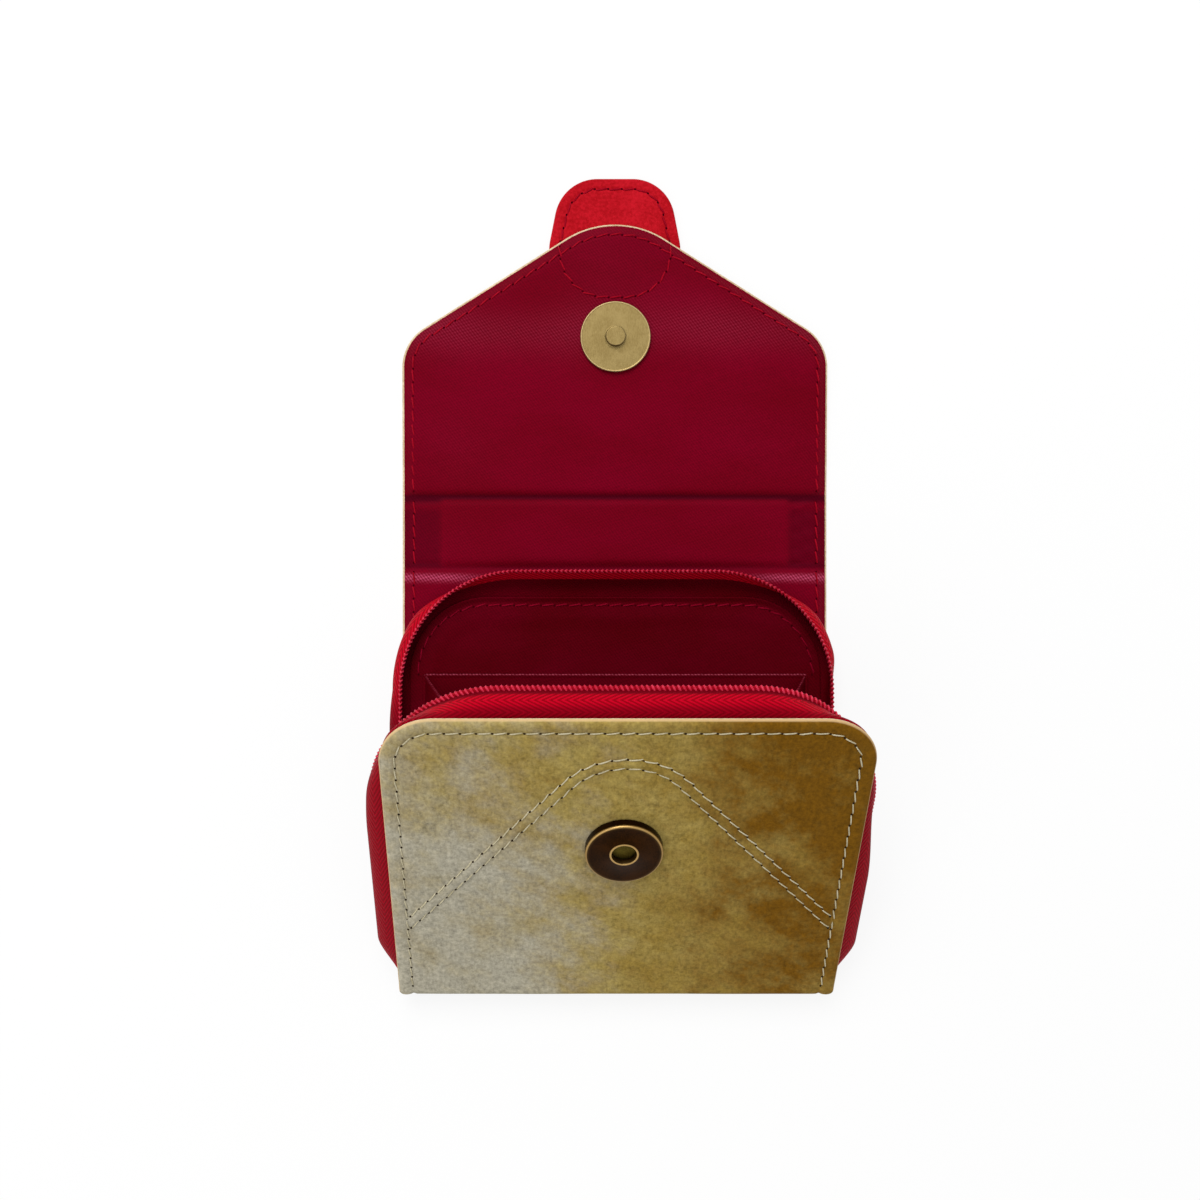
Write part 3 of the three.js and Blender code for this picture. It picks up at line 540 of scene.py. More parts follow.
Level = Callable[[Flat], Array]
EDGE_OFFSETS = np.array([
    0, 0.06, 0.18, 0.36, 0.6, 0.9, 1.25, 1.6, 2.0, 2.4, 2.75, 3.1, 3.35, 3.6, 3.85, 4.1, 4.5, 5.0, 5.6,
])
CREASE_OFFSETS = np.linspace(-3, 3, 31)
ROW_SPACING = 0.02
LEATHER_STEP = 0.75
TAB_STEP = 0.6
CLOTH_STEP = 0.9


def round_edge(plateau: Array, middle: Array | float, rim: Array, radius: float) -> Array:
    """Returns a face, of levels plateau, that turns in a quarter round to the middle of the edge."""
    share = 1 - np.clip(rim / radius, 0, 1)
    return middle + (plateau - middle) * np.sqrt(np.maximum(1 - share * share, 0))


@dataclass
class Slab:
    """Closed ply between an outer and an inner face, bent over a crease."""

    name: str
    crease: Crease
    outline: Outline
    outer: Level
    inner: Level
    finishes: Sequence[Material]
    step: float
    # Painted light and shade of the faces, if any.
    painted_shading: Level | None = None

    def rows(self) -> Array:
        """Returns the reaches of the grid, closer together at free ends and at the crease."""
        start, end = self.outline.side[0, 1], self.outline.side[-1, 1]
        closes = self.outline.side[-1, 0] == 0
        spans = [np.arange(start, end, self.step)]
        if start < 0 < end:
            spans.append(CREASE_OFFSETS)
        if self.outline.free_end or closes:
            spans.append(end - EDGE_OFFSETS)
        if self.outline.free_start:
            spans.append(start + EDGE_OFFSETS)
        rows = np.unique(np.round(np.concatenate(spans), 2))
        inside = rows[(rows > start + ROW_SPACING) & (rows < end - ROW_SPACING)]
        return np.concatenate([[start], inside, [end]])

    def columns(self) -> Array:
        """Returns shares of the half width, closer together at the sides."""
        half = self.outline.side[:, 0].max()
        middle = np.arange(0, half - EDGE_OFFSETS[-1], self.step)
        right = np.concatenate([middle, half - EDGE_OFFSETS[::-1]]) / half
        return np.concatenate([-right[:0:-1], right])

    def build(self) -> Piece:
        """Returns the finished piece."""
        rows, columns = self.rows(), self.columns()
        x = self.outline.half_width(rows)[:, None] * columns[None, :]
        reach = np.repeat(rows[:, None], len(columns), axis=1)
        flat = Flat(x, reach, self.outline.rim(x, reach))
        sides = [self.crease.place(x, reach, level(flat)) for level in (self.outer, self.inner)]
        points = np.concatenate([side.reshape(-1, 3) for side in sides])
        count, wide = x.shape
        faces = grid_faces(count, wide) + grid_faces(count, wide, count * wide)
        finish_index = [0] * (len(faces) // 2) + [1] * (len(faces) // 2)
        for row in (0, count - 1):
            here, there = row * wide, (count + row) * wide
            ends = [(here + i, here + i + 1, there + i + 1, there + i) for i in range(wide - 1)]
            faces += ends
            finish_index += [1] * len(ends)
        spread = np.stack([x, reach], axis=-1).reshape(-1, 2)
        values = {"rim": np.concatenate([flat.rim.ravel()] * 2)}
        # Painted light and shade, kept as surface data for the finish.
        if self.painted_shading:
            values["painted_shading"] = np.concatenate([self.painted_shading(flat).ravel()] * 2)
        parts = MeshParts(points, faces, finish_index, np.concatenate([spread, spread]), values)
        return make_piece(self.name, parts, self.finishes)


@dataclass(frozen=True)
class Cloth:
    """Cloth of an even thickness whose upper face follows a level."""

    name: str
    crease: Crease
    outline: Outline
    level: Level
    thickness: float
    finish: Material
    # Painted light and shade of the faces, if any.
    painted_shading: Level | None = None

    def upper(self, flat: Flat) -> Array:
        """Returns the face that shows."""
        face = self.level(flat)
        return round_edge(face, face - self.thickness / 2, flat.rim, self.thickness / 2)

    def lower(self, flat: Flat) -> Array:
        """Returns the face that lies on the panel."""
        face = self.level(flat)
        return round_edge(face - self.thickness, face - self.thickness / 2, flat.rim, self.thickness / 2)

    def build(self) -> Piece:
        """Returns the finished piece."""
        finishes = [self.finish, self.finish]
        return Slab(
            self.name, self.crease, self.outline, self.lower, self.upper, finishes, CLOTH_STEP, self.painted_shading,
        ).build()


# Placing pieces


def note(piece: Piece, slot: Slot | None, replaced: Sequence[str]) -> None:
    """Hides the solids that a piece stands for, and logs it.

    Args:
        piece: A finished piece.
        slot: Its finish in the record; not used.
        replaced: Names of the solids.
    """
    if replaced:
        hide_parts(*replaced)
    LOG.info("%s: %d faces", piece.name, len(piece.data.polygons))


def seat(
    piece: Piece, body: Body, slot: Slot | None = None, replaced: Sequence[str] = (),
) -> None:
    """Lets a finished piece ride on a body."""
    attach(piece, body.value)
    note(piece, slot, replaced)


def seat_across(piece: Piece, crease: Crease, slot: Slot, replaced: Sequence[str]) -> None:
    """Bakes the placement of a finished piece that lies across a crease, hides the solids it stands for and
    logs it.
    """
    crease.blend(piece)
    note(piece, slot, replaced)


def dress_nodes(finish: Material, *nodes: str) -> None:
    """Gives carried-over solids their finish.

    Args:
        finish: Material of the solids.
        nodes: Their names.
    """
    for node in nodes:
        solid = frame["nodes"][node]
        solid.data.materials.clear()
        solid.data.materials.append(finish)
        LOG.info("%s: solid kept", node)


# Node trees


class Field:
    """Socket of a node that takes part in Python arithmetic."""

    def __init__(self, graph: "Graph", socket: bpy.types.NodeSocket) -> None:
        """Keeps the socket and the graph that it belongs to."""
        self.graph = graph
        self.socket = socket

    def output(self, name: str) -> "Field":
        """Returns another output of the same node."""
        return Field(self.graph, self.socket.node.outputs[name])

    def math(self, operation: str, first: "Field | float", second: "Field | float" = 0.0) -> "Field":
        """Returns the result of a new Math node."""
        return self.graph.node("ShaderNodeMath", {"operation": operation}, {0: first, 1: second})

    def __add__(self, other: "Field | float") -> "Field":
        """Adds a value."""
        return self.math("ADD", self, other)

    __radd__ = __add__

    def __sub__(self, other: "Field | float") -> "Field":
        """Takes a value away."""
        return self.math("SUBTRACT", self, other)

    def __rsub__(self, other: float) -> "Field":
        """Takes this value away from a number."""
        return self.math("SUBTRACT", other, self)

    def __mul__(self, other: "Field | float") -> "Field":
        """Multiplies by a value."""
        return self.math("MULTIPLY", self, other)

    __rmul__ = __mul__

    def sine(self) -> "Field":
        """Returns the sine."""
        return self.math("SINE", self)

    def absolute(self) -> "Field":
        """Returns the value without its sign."""
        return self.math("ABSOLUTE", self)

    def modulo(self, size: float) -> "Field":
        """Returns what is left over after whole sizes, never below zero."""
        return self.math("FLOORED_MODULO", self, size)


class Graph:
    """Node tree in the making."""

    def __init__(self, tree: bpy.types.NodeTree) -> None:
        """Starts from an empty tree."""
        self.tree = tree
        tree.nodes.clear()

    def node(
        self, kind: str, settings: dict | None = None, sockets: dict | None = None, output: int | str = 0,
    ) -> Field | None:
        """Adds a node.

        Args:
            kind: Type of the node.
            settings: Its properties.
            sockets: Values or links of its inputs, by name or index.
            output: The output that is returned.

        Returns:
            The output, or nothing if the node has none.
        """
        made = self.tree.nodes.new(kind)
        for key, value in (settings or {}).items():
            setattr(made, key, value)
        for key, value in (sockets or {}).items():
            if isinstance(value, Field):
                self.tree.links.new(value.socket, made.inputs[key])
            else:
                made.inputs[key].default_value = value
        return Field(self, made.outputs[output]) if len(made.outputs) else None

    def seen(self) -> Field:
        """Returns 1 for rays from the camera, off a glossy surface or through glass, and 0 for others."""
        rays = self.node("ShaderNodeLightPath", output="Is Camera Ray")
        return rays + rays.output("Is Glossy Ray") + rays.output("Is Transmission Ray")


class Finish(Graph):
    """Surface material in the making."""

    def __init__(self, name: str) -> None:
        """Starts a material with an empty tree.

        Args:
            name: Name of the material.
        """
        self.material = bpy.data.materials.new(name)
        self.material.use_nodes = True
        super().__init__(self.material.node_tree)

    def place(self, stretch: Place = (1, 1, 1)) -> Field:
        """Returns the object's own coordinates, stretched along its axes."""
        spot = self.node("ShaderNodeTexCoord", output="Object")
        return self.node("ShaderNodeVectorMath", {"operation": "MULTIPLY"}, {0: spot, 1: stretch})

    def along(self, axis: str) -> Field:
        """Returns one of the object's own coordinates, in metres."""
        return self.node("ShaderNodeSeparateXYZ", sockets={0: self.place()}, output=axis)

    def flat(self, axis: str) -> Field:
        """Returns one of the flat coordinates, in millimetres."""
        spot = self.node("ShaderNodeUVMap", {"uv_map": "flat"})
        return self.node("ShaderNodeSeparateXYZ", sockets={0: spot}, output=axis)

    def value(self, name: str) -> Field:
        """Returns surface data of the mesh."""
        return self.node("ShaderNodeAttribute", {"attribute_name": name}, output="Fac")

    def noise(self, spot: Field, size: float, detail: float = 3.0, roughness: float = 0.55) -> Field:
        """Returns noise whose blots have about the given size in millimetres."""
        sockets = {"Vector": spot, "Scale": 1 / (size * MM), "Detail": detail, "Roughness": roughness}
        return self.node("ShaderNodeTexNoise", sockets=sockets)

    def rise(self, value: Field, low: float, high: float, first: float = 0.0, last: float = 1.0) -> Field:
        """Returns a smooth rise from first to last as a value goes from low to high."""
        sockets = {0: value, 1: low, 2: high, 3: first, 4: last}
        return self.node("ShaderNodeMapRange", {"interpolation_type": "SMOOTHSTEP"}, sockets)

    def mix(self, share: Field, first: Field | Colour, second: Field | Colour) -> Field:
        """Returns a colour between two."""
        settings = {"data_type": "RGBA"}
        return self.node("ShaderNodeMix", settings, {0: share, 6: first, 7: second}, output=2)

    def shade(self, colour: Field, light: Field) -> Field:
        """Returns a colour made lighter or darker."""
        settings = {"operation": "SCALE"}
        return self.node("ShaderNodeVectorMath", settings, {0: colour, "Scale": light})

    def bump(self, height: Field, depth: float) -> Field:
        """Returns normals of a surface whose height of 1 is the given depth in millimetres."""
        sockets = {"Height": height, "Distance": depth * MM, "Strength": 1.0}
        return self.node("ShaderNodeBump", sockets=sockets)

    def surface(
        self, colour: Field, roughness: Field | float, normal: Field, **constants: float | Colour,
    ) -> Material:
        """Joins the shader.

        Args:
            colour: Base colour.
            roughness: Roughness of the surface.
            normal: Normals of its relief.
            constants: Other inputs of the shader, with underscores for spaces.

        Returns:
            The material.
        """
        sockets = {"Base Color": colour, "Roughness": roughness, "Normal": normal}
        sockets |= {key.replace("_", " "): value for key, value in constants.items()}
        shader = self.node("ShaderNodeBsdfPrincipled", sockets=sockets)
        self.node("ShaderNodeOutputMaterial", sockets={"Surface": shader})
        return self.material


# Finishes


@dataclass(frozen=True)
class Nubuck:
    """Mottled nubuck of the cover, greyer to the left with painted light and browner to the right with
    painted shade.

    The sizes of its marks are in millimetres, and the spans, over which a colour comes in, in metres.
    """

    tan: Colour = srgb(164, 144, 80)
    olive: Colour = srgb(148, 122, 54)
    brown: Colour = srgb(114, 77, 12)
    pale: Colour = srgb(174, 168, 149)
    edge: Colour = srgb(220, 186, 136)
    tint: Colour = srgb(220, 200, 150)
    clouds: float = 30
    blots: float = 10
    streaks: float = 9
    streak_angle: float = -45
    streak_stretch: float = 2.6
    mottles: float = 2.6
    grain: float = 1.0
    fibres: float = 0.8
    crinkle: float = 16
    left_span: tuple[float, float] = (0.02, -0.045)
    right_span: tuple[float, float] = (-0.012, 0.045)
    foot_span: tuple[float, float] = (0.005, -0.035)
    flap_span: tuple[float, float] = (0.03, 0.045)
    front_edge: float = 0.75
    relief: float = 0.1

    def build(self) -> Material:
        """Returns the material."""
        finish = Finish("nubuck")
        spot = finish.place()
        clouds = finish.noise(spot, self.clouds, 5, 0.6) - 0.5
        blots = finish.noise(finish.place((1, 0.8, 0.8)), self.blots, 5, 0.62) - 0.5
        slanted = finish.node("ShaderNodeMapping", {"vector_type": "TEXTURE"}, {
            "Vector": spot, "Rotation": (0, 0, math.radians(self.streak_angle)),
            "Scale": (self.streak_stretch, 1, 1),
        })
        streaks = finish.noise(slanted, self.streaks, 5, 0.6) - 0.5
        mottles = finish.noise(spot, self.mottles, 4, 0.6) - 0.5
        grain = finish.noise(spot, self.grain, 4, 0.75) - 0.5
        fibres = finish.noise(finish.place((1, 0.3, 0.3)), self.fibres, 3, 0.7) - 0.5
        folds = (finish.noise(finish.place((1, 0.5, 0.5)), self.crinkle, 3, 0.45) - 0.5).absolute()
        crinkle = finish.rise(folds, 0.014, 0) * finish.rise(blots, 0, 0.16)
        left = finish.rise(finish.along("X"), *self.left_span)
        right = finish.rise(finish.along("X"), *self.right_span)
        foot = finish.rise(finish.along("Y"), *self.foot_span)
        rim = finish.value("rim")
        colour = finish.mix(finish.rise(blots + 0.5 * mottles, -0.22, 0.22), self.olive, self.tan)
        # Browner blots: a mottled print, with painted shade that grows to the right.
        brown_print_and_painted_shade = right * (1.1 - 0.4 * foot) + 1.2 * clouds + 1.2 * blots + 1.1 * streaks + 0.6 * mottles
        colour = finish.mix(finish.rise(brown_print_and_painted_shade, 0.1, 0.95), colour, self.brown)
        # Greyer blots: a mottled print, with painted light that grows to the left.
        pale_print_and_painted_light = left * (0.48 + 0.6 * foot) - clouds - blots - 1.5 * streaks - 0.25 * mottles
        pale_print_and_painted_light = finish.rise(pale_print_and_painted_light, 0.05, 1.2) * finish.rise(left, 0, 0.3)
        colour = finish.mix(pale_print_and_painted_light, colour, self.pale)
        # Darker along the crinkles: painted shade in the creases.
        light = 0.945 + 1.45 * grain + 0.6 * fibres + 0.45 * mottles - 0.16 * crinkle
        # Lighter within about 3 mm of the edge: a painted highlight on the rounded edge.
        colour = finish.shade(colour, light + finish.rise(rim, 3.2, 0.6, 0, 0.06))
        raw = finish.rise(finish.along("Y"), *self.flap_span, self.front_edge, 1)
        colour = finish.mix(finish.rise(rim, 0.4, 0.05) * raw, colour, self.edge)
        height = 0.6 * grain + 0.4 * fibres - 0.5 * crinkle
        return finish.surface(
            colour, 0.82 + 0.3 * blots, finish.bump(height, self.relief),
            Specular_IOR_Level=0.15, Specular_Tint=self.tint,
        )


@dataclass(frozen=True)
class FleshSide:
    """Pale flesh side of the leather, which shows at the cut edges."""

    pale: Colour = srgb(226, 204, 170)
    shade: Colour = srgb(196, 168, 130)
    fibres: float = 0.7
    blots: float = 6
    relief: float = 0.1

    def build(self) -> Material:
        """Returns the material."""
        finish = Finish("flesh_side")
        fibres = finish.noise(finish.place(), self.fibres, 4)
        blots = finish.noise(finish.place(), self.blots)
        colour = finish.mix(finish.rise(0.6 * fibres + 0.4 * blots, 0.35, 0.65), self.shade, self.pale)
        return finish.surface(colour, 0.9, finish.bump(fibres, self.relief), Specular_IOR_Level=0.2)


@dataclass(frozen=True)
class Twill:
    """Satin twill lining with a fine diagonal rib."""

    name: str
    deep: Colour
    bright: Colour
    # The dull colour is painted shade; the gleam colour is a painted highlight that also tints the specular
    # reflection.
    painted_shade: Colour
    gleam: Colour
    gloss: float = 0.2
    rib: float = 0.85
    threads: float = 0.8
    clouds: float = 14
    relief: float = 0.035

    def build(self) -> Material:
        """Returns the material, with painted shade where the shading value is below zero and a painted
        highlight where it is above.
        """
        finish = Finish(self.name)
        diagonal = (finish.flat("X") + 0.8 * finish.flat("Y")) * (2 * math.pi / self.rib)
        weft = (finish.flat("Y") - 0.3 * finish.flat("X")) * (2 * math.pi / self.rib)
        ribs = diagonal.sine() * 0.35 + weft.sine() * 0.15 + 0.5
        threads = finish.noise(finish.place(), self.threads)
        clouds = finish.noise(finish.place((0.4, 1, 1)), self.clouds)
        painted_shading = finish.value("painted_shading")
        colour = finish.mix(finish.rise(clouds, 0.3, 0.7), self.deep, self.bright)
        # Painted shade where the shading value is below zero.
        colour = finish.mix(finish.rise(painted_shading, 0, -1), colour, self.painted_shade)
        # Painted highlight, broken up by the ribs, where the shading value is above zero.
        colour = finish.mix(finish.rise(painted_shading * (0.3 + 1.4 * ribs), 0, 1), colour, self.gleam)
        colour = finish.shade(colour, 0.6 + 0.36 * ribs + 0.44 * threads)
        height = 0.7 * ribs + 0.3 * threads
        return finish.surface(
            colour, 0.48 + 0.15 * threads, finish.bump(height, self.relief),
            Specular_IOR_Level=self.gloss, Specular_Tint=self.gleam,
        )


@dataclass(frozen=True)
class Herringbone:
    """Woven zip tape, whose ribs change their slant from band to band."""

    deep: Colour = srgb(124, 0, 10)
    bright: Colour = srgb(196, 0, 33)
    # The dull colour is painted shade.
    painted_shade: Colour = srgb(100, 0, 14)
    gleam: Colour = srgb(225, 60, 80)
    band: float = 2.7
    rib: float = 0.85
    slope: float = -0.5
    threads: float = 0.6
    relief: float = 0.06

    def build(self) -> Material:
        """Returns the material, with painted shade where the shading value is below zero."""
        finish = Finish("zip_tape")
        slant = (finish.flat("Y").modulo(2 * self.band) - self.band).absolute()
        ribs = ((self.slope * finish.flat("X") + slant) * (2 * math.pi / self.rib)).sine() * 0.5 + 0.5
        threads = finish.noise(finish.place(), self.threads, 2)
        colour = finish.mix(finish.rise(1.1 * ribs + 0.5 * threads, -0.1, 1.7), self.deep, self.bright)
        # Painted shade of the tape.
        colour = finish.mix(finish.rise(finish.value("painted_shading"), 0, -1), colour, self.painted_shade)
        height = 0.75 * ribs + 0.25 * threads
        return finish.surface(
            colour, 0.62, finish.bump(height, self.relief), Specular_IOR_Level=0.2, Specular_Tint=self.gleam,
        )


@dataclass(frozen=True)
class PlainFinish:
    """Evenly coloured material with a fine grain."""

    name: str
    dark: Colour
    light: Colour
    grain: float
    roughness: float
    relief: float
    gloss: float = 0.4
    metal: float = 0.0
    tint: Colour = (1, 1, 1, 1)

    def build(self) -> Material:
        """Returns the material."""
        finish = Finish(self.name)
        grain = finish.noise(finish.place(), self.grain)
        blots = finish.noise(finish.place(), 12 * self.grain)
        colour = finish.mix(finish.rise(0.6 * grain + 0.4 * blots, 0.35, 0.65), self.dark, self.light)
        rough = (self.roughness - 0.06) + 0.12 * grain
        return finish.surface(
            colour, rough, finish.bump(grain, self.relief),
            Specular_IOR_Level=self.gloss, Specular_Tint=self.tint, Metallic=self.metal,
        )


@dataclass(frozen=True)
class WornMetal:
    """Plated metal whose edges are worn bright."""

    name: str
    face: Colour
    shade: Colour
    worn: Colour
    roughness: float
    clouds: float = 3.5
    scratches: float = 0.25
    relief: float = 0.012

    def build(self) -> Material:
        """Returns the material."""
        finish = Finish(self.name)
        clouds = finish.noise(finish.place(), self.clouds, 4)
        scratches = finish.noise(finish.place((1, 0.3, 1)), self.scratches, 2)
        colour = finish.mix(finish.rise(0.5 * clouds + 0.5 * scratches, 0.35, 0.65), self.shade, self.face)
        colour = finish.mix(finish.value("wear"), colour, self.worn)
        rough = (self.roughness - 0.08) + 0.16 * scratches
        return finish.surface(colour, rough, finish.bump(scratches, self.relief), Metallic=1.0)


RED_GLINT = srgb(235, 90, 105)
WINE_GLINT = srgb(190, 40, 80)
RECIPES = {
    "nubuck": Nubuck(),
    "flesh": FleshSide(),
    "crimson": Twill(
        "crimson_twill", srgb(102, 0, 17), srgb(110, 0, 24), srgb(66, 0, 14), srgb(190, 74, 108),
    ),
    "dark": Twill("dark_twill", srgb(80, 0, 8), srgb(90, 0, 16), srgb(52, 0, 3), srgb(176, 74, 96), 0.15),
    "tape": Herringbone(),
    "nylon": PlainFinish(
        "nylon_coil", srgb(184, 22, 48), srgb(214, 58, 84), 0.6, 0.45, 0.01, tint=RED_GLINT,
    ),
    "cord": PlainFinish(
        "nylon_cord", srgb(132, 0, 16), srgb(152, 6, 28), 0.6, 0.6, 0.01, 0.2, tint=RED_GLINT,
    ),
    "tab": PlainFinish(
        "tab_leather", srgb(158, 8, 18), srgb(188, 20, 34), 0.7, 0.66, 0.07, 0.25, tint=RED_GLINT,
    ),
    "brass": WornMetal("satin_brass", srgb(134, 116, 74), srgb(118, 100, 60), srgb(173, 150, 106), 0.48),
    "dark_brass": WornMetal("antique_brass", srgb(48, 25, 5), srgb(30, 15, 3), srgb(182, 148, 92), 0.42),
    "aged_brass": WornMetal("aged_brass", srgb(99, 87, 34), srgb(73, 62, 21), srgb(182, 148, 92), 0.5),
    "steel": PlainFinish("steel_plate", srgb(124, 124, 122), srgb(156, 156, 154), 0.3, 0.38, 0.01, 0.5, 1),
    "magnet": PlainFinish("ring_magnet", srgb(44, 43, 46), srgb(60, 59, 62), 0.4, 0.6, 0.02, metal=0.6),
    "board": PlainFinish("grey_card", srgb(164, 146, 118), srgb(192, 174, 144), 0.8, 0.9, 0.04, 0.2),
    "pale_thread": PlainFinish("pale_thread", srgb(172, 162, 128), srgb(206, 197, 168), 0.25, 0.75, 0.02),
    "red_thread": PlainFinish(
        "red_thread", srgb(132, 2, 22), srgb(162, 10, 34), 0.25, 0.6, 0.02, 0.2, tint=RED_GLINT,
    ),
    "dark_thread": PlainFinish(
        "dark_thread", srgb(112, 2, 22), srgb(140, 10, 38), 0.25, 0.6, 0.02, 0.3, tint=WINE_GLINT,
    ),
    # Dark mouths of the needle holes are painted shade in the holes.
    "needle_hole": PlainFinish("needle_hole", srgb(34, 24, 14), srgb(52, 38, 22), 0.3, 0.9, 0.01, 0.1),
    "cloth_hole": PlainFinish(
        "cloth_hole", srgb(52, 0, 6), srgb(66, 0, 10), 0.3, 0.9, 0.01, 0.1, tint=WINE_GLINT,
    ),
}


@dataclass
class Finishes:
    """All the materials of the purse, made once."""

    nubuck: Material
    flesh: Material
    crimson: Material
    dark: Material
    tape: Material
    nylon: Material
    cord: Material
    tab: Material
    brass: Material
    dark_brass: Material
    aged_brass: Material
    steel: Material
    magnet: Material
    board: Material
    pale_thread: Material
    red_thread: Material
    dark_thread: Material
    needle_hole: Material
    cloth_hole: Material

    @classmethod
    def build(cls) -> "Finishes":
        """Returns the set of materials."""
        return cls(**{name: recipe.build() for name, recipe in RECIPES.items()})


# Rows of stitches and teeth


@dataclass(frozen=True)
class Row:
    """Path of a row in space, with the way out of the surface at each of its points."""

    points: Array
    facing: Array

    def length(self) -> float:
        """Returns the length of the path."""
        return float(np.linalg.norm(np.diff(self.points, axis=0), axis=1).sum())


def surface_row(crease: Crease, line: Array, level: Array | float, outward: int) -> Row:
    """Lays a row on a panel.

    Args:
        crease: Crease whose flat coordinates the line is in.
        line: Polyline of x and reach.
        level: Level of the row.
        outward: 1 for the lined face, and -1 for the outer face.

    Returns:
        The row.
    """
    x, reach = line[:, 0], line[:, 1]
    level = np.broadcast_to(level, x.shape)
    points = crease.place(x, reach, level)
    return Row(points, crease.place(x, reach, level + outward) - points)


class BeadRow:
    """Geometry Nodes tree that lays a small shape along paths at a steady pitch."""

    inputs = {
        "Rows": "NodeSocketGeometry", "Pitch": "NodeSocketFloat", "Shift": "NodeSocketFloat",
        "Turn": "NodeSocketFloat", "Wobble": "NodeSocketFloat", "Seed": "NodeSocketInt",
        "Bead": "NodeSocketObject", "Finish": "NodeSocketMaterial",
    }
    rounding_room = 1e-5

    def __init__(self) -> None:
        """Builds the tree and keeps the identifiers of its inputs."""
        self.tree = bpy.data.node_groups.new("beads_on_rows", "GeometryNodeTree")
        sides = self.tree.interface
        self.keys = {
            name: sides.new_socket(name, in_out="INPUT", socket_type=kind).identifier
            for name, kind in self.inputs.items()
        }
        sides.new_socket("Beads", in_out="OUTPUT", socket_type="NodeSocketGeometry")
        self.join_nodes()

    def join_nodes(self) -> None:
        """Adds the nodes of the tree."""
        graph = Graph(self.tree)
        given = graph.node("NodeGroupInput")
        fit = graph.node("GeometryNodeInputNamedAttribute", {"data_type": "FLOAT"}, {"Name": "fit"})
        pitch = given.output("Pitch") * fit
        start = pitch * given.output("Shift")
        curve = graph.node("GeometryNodeMeshToCurve", sockets={0: given.output("Rows")})
        end = graph.node("GeometryNodeSplineLength") - start
        curve = graph.node("GeometryNodeTrimCurve", {"mode": "LENGTH"}, {0: curve, 4: start, 5: end})
        spaced = {"Curve": curve, "Length": pitch}
        points = graph.node("GeometryNodeResampleCurve", {"mode": "LENGTH"}, spaced)
        named = {"data_type": "FLOAT_VECTOR"}
        facing = graph.node("GeometryNodeInputNamedAttribute", named, {"Name": "facing"})
        ways = {0: facing, 1: graph.node("GeometryNodeInputTangent")}
        axes = graph.node("FunctionNodeAxesToRotation", {"primary_axis": "Z", "secondary_axis": "X"}, ways)
        wobble = given.output("Wobble")
        chance = graph.node(
            "FunctionNodeRandomValue", {"data_type": "FLOAT"},
            {2: 0 - wobble, 3: wobble, "Seed": given.output("Seed")}, output=1,
        )
        turn = graph.node("ShaderNodeCombineXYZ", sockets={"Z": given.output("Turn") + chance})
        spin = graph.node("FunctionNodeEulerToRotation", sockets={0: turn})
        rotation = graph.node("FunctionNodeRotateRotation", {"rotation_space": "LOCAL"}, {0: axes, 1: spin})
        shape = {"Object": given.output("Bead")}
        bead = graph.node("GeometryNodeObjectInfo", sockets=shape, output="Geometry")
        placing = {"Points": points, "Instance": bead, "Rotation": rotation}
        placed = graph.node("GeometryNodeInstanceOnPoints", sockets=placing)
        solid = graph.node("GeometryNodeRealizeInstances", sockets={0: placed})
        dressing = {"Geometry": solid, "Material": given.output("Finish")}
        dressed = graph.node("GeometryNodeSetMaterial", sockets=dressing)
        graph.node("NodeGroupOutput", sockets={0: dressed})

    def lay(
        self, name: str, rows: Sequence[Row], bead: Piece, finish: Material,
        pitch: float, shift: float = 0.0, turn: float = 0.0, wobble: float = 0.0,
    ) -> Piece:
        """Lays beads along rows.

        Args:
            name: Name of the finished piece.
            rows: Paths of the beads.
            bead: Shape of one bead, with x along the row and z out of the surface.
            finish: Material of the beads.
            pitch: Distance between beads, fitted to each row.
            shift: Share of the pitch at which the beads begin.
            turn: Slant of each bead, in degrees.
            wobble: Unevenness of the slant, in degrees.

        Returns:
            A plain mesh object.
        """
        path = self.path(name, rows, pitch)
        modifier = path.modifiers.new("beads", "NODES")
        modifier.node_group = self.tree
        values = {
            "Pitch": pitch * MM * (1 - self.rounding_room), "Shift": shift, "Turn": math.radians(turn),
            "Wobble": math.radians(wobble), "Seed": len(rows), "Bead": bead, "Finish": finish,
        }
        for key, value in values.items():
            modifier[self.keys[key]] = value
        made = bpy.data.meshes.new_from_object(path.evaluated_get(bpy.context.evaluated_depsgraph_get()))
        path.modifiers.remove(modifier)
        bpy.data.objects.remove(path)
        made.name = name
        return add_object(name, made)

    def path(self, name: str, rows: Sequence[Row], pitch: float) -> Piece:
        """Makes the edges that beads are laid along.

        Args:
            name: Name of the piece that the beads become.
            rows: Paths of the beads.
            pitch: Distance between beads.

        Returns:
            A mesh object with the facing and the fit of the pitch at each point.
        """
        points = np.concatenate([row.points for row in rows])
        starts = np.cumsum([0] + [len(row.points) for row in rows])
        edges = [(i, i + 1) for a, b in zip(starts, starts[1:]) for i in range(a, b - 1)]
        fits = [row.length() / max(round(row.length() / pitch), 1) / pitch for row in rows]
        mesh = bpy.data.meshes.new(name)
        mesh.from_pydata((points * MM).tolist(), edges, [])
        facing = np.concatenate([row.facing for row in rows]).astype(np.float32)
        mesh.attributes.new("facing", "FLOAT_VECTOR", "POINT").data.foreach_set("vector", facing.ravel())
        fit = np.concatenate([np.full(len(row.points), share) for row, share in zip(rows, fits)])
        mesh.attributes.new("fit", "FLOAT", "POINT").data.foreach_set("value", fit.astype(np.float32))
        return add_object(name + "_path", mesh)


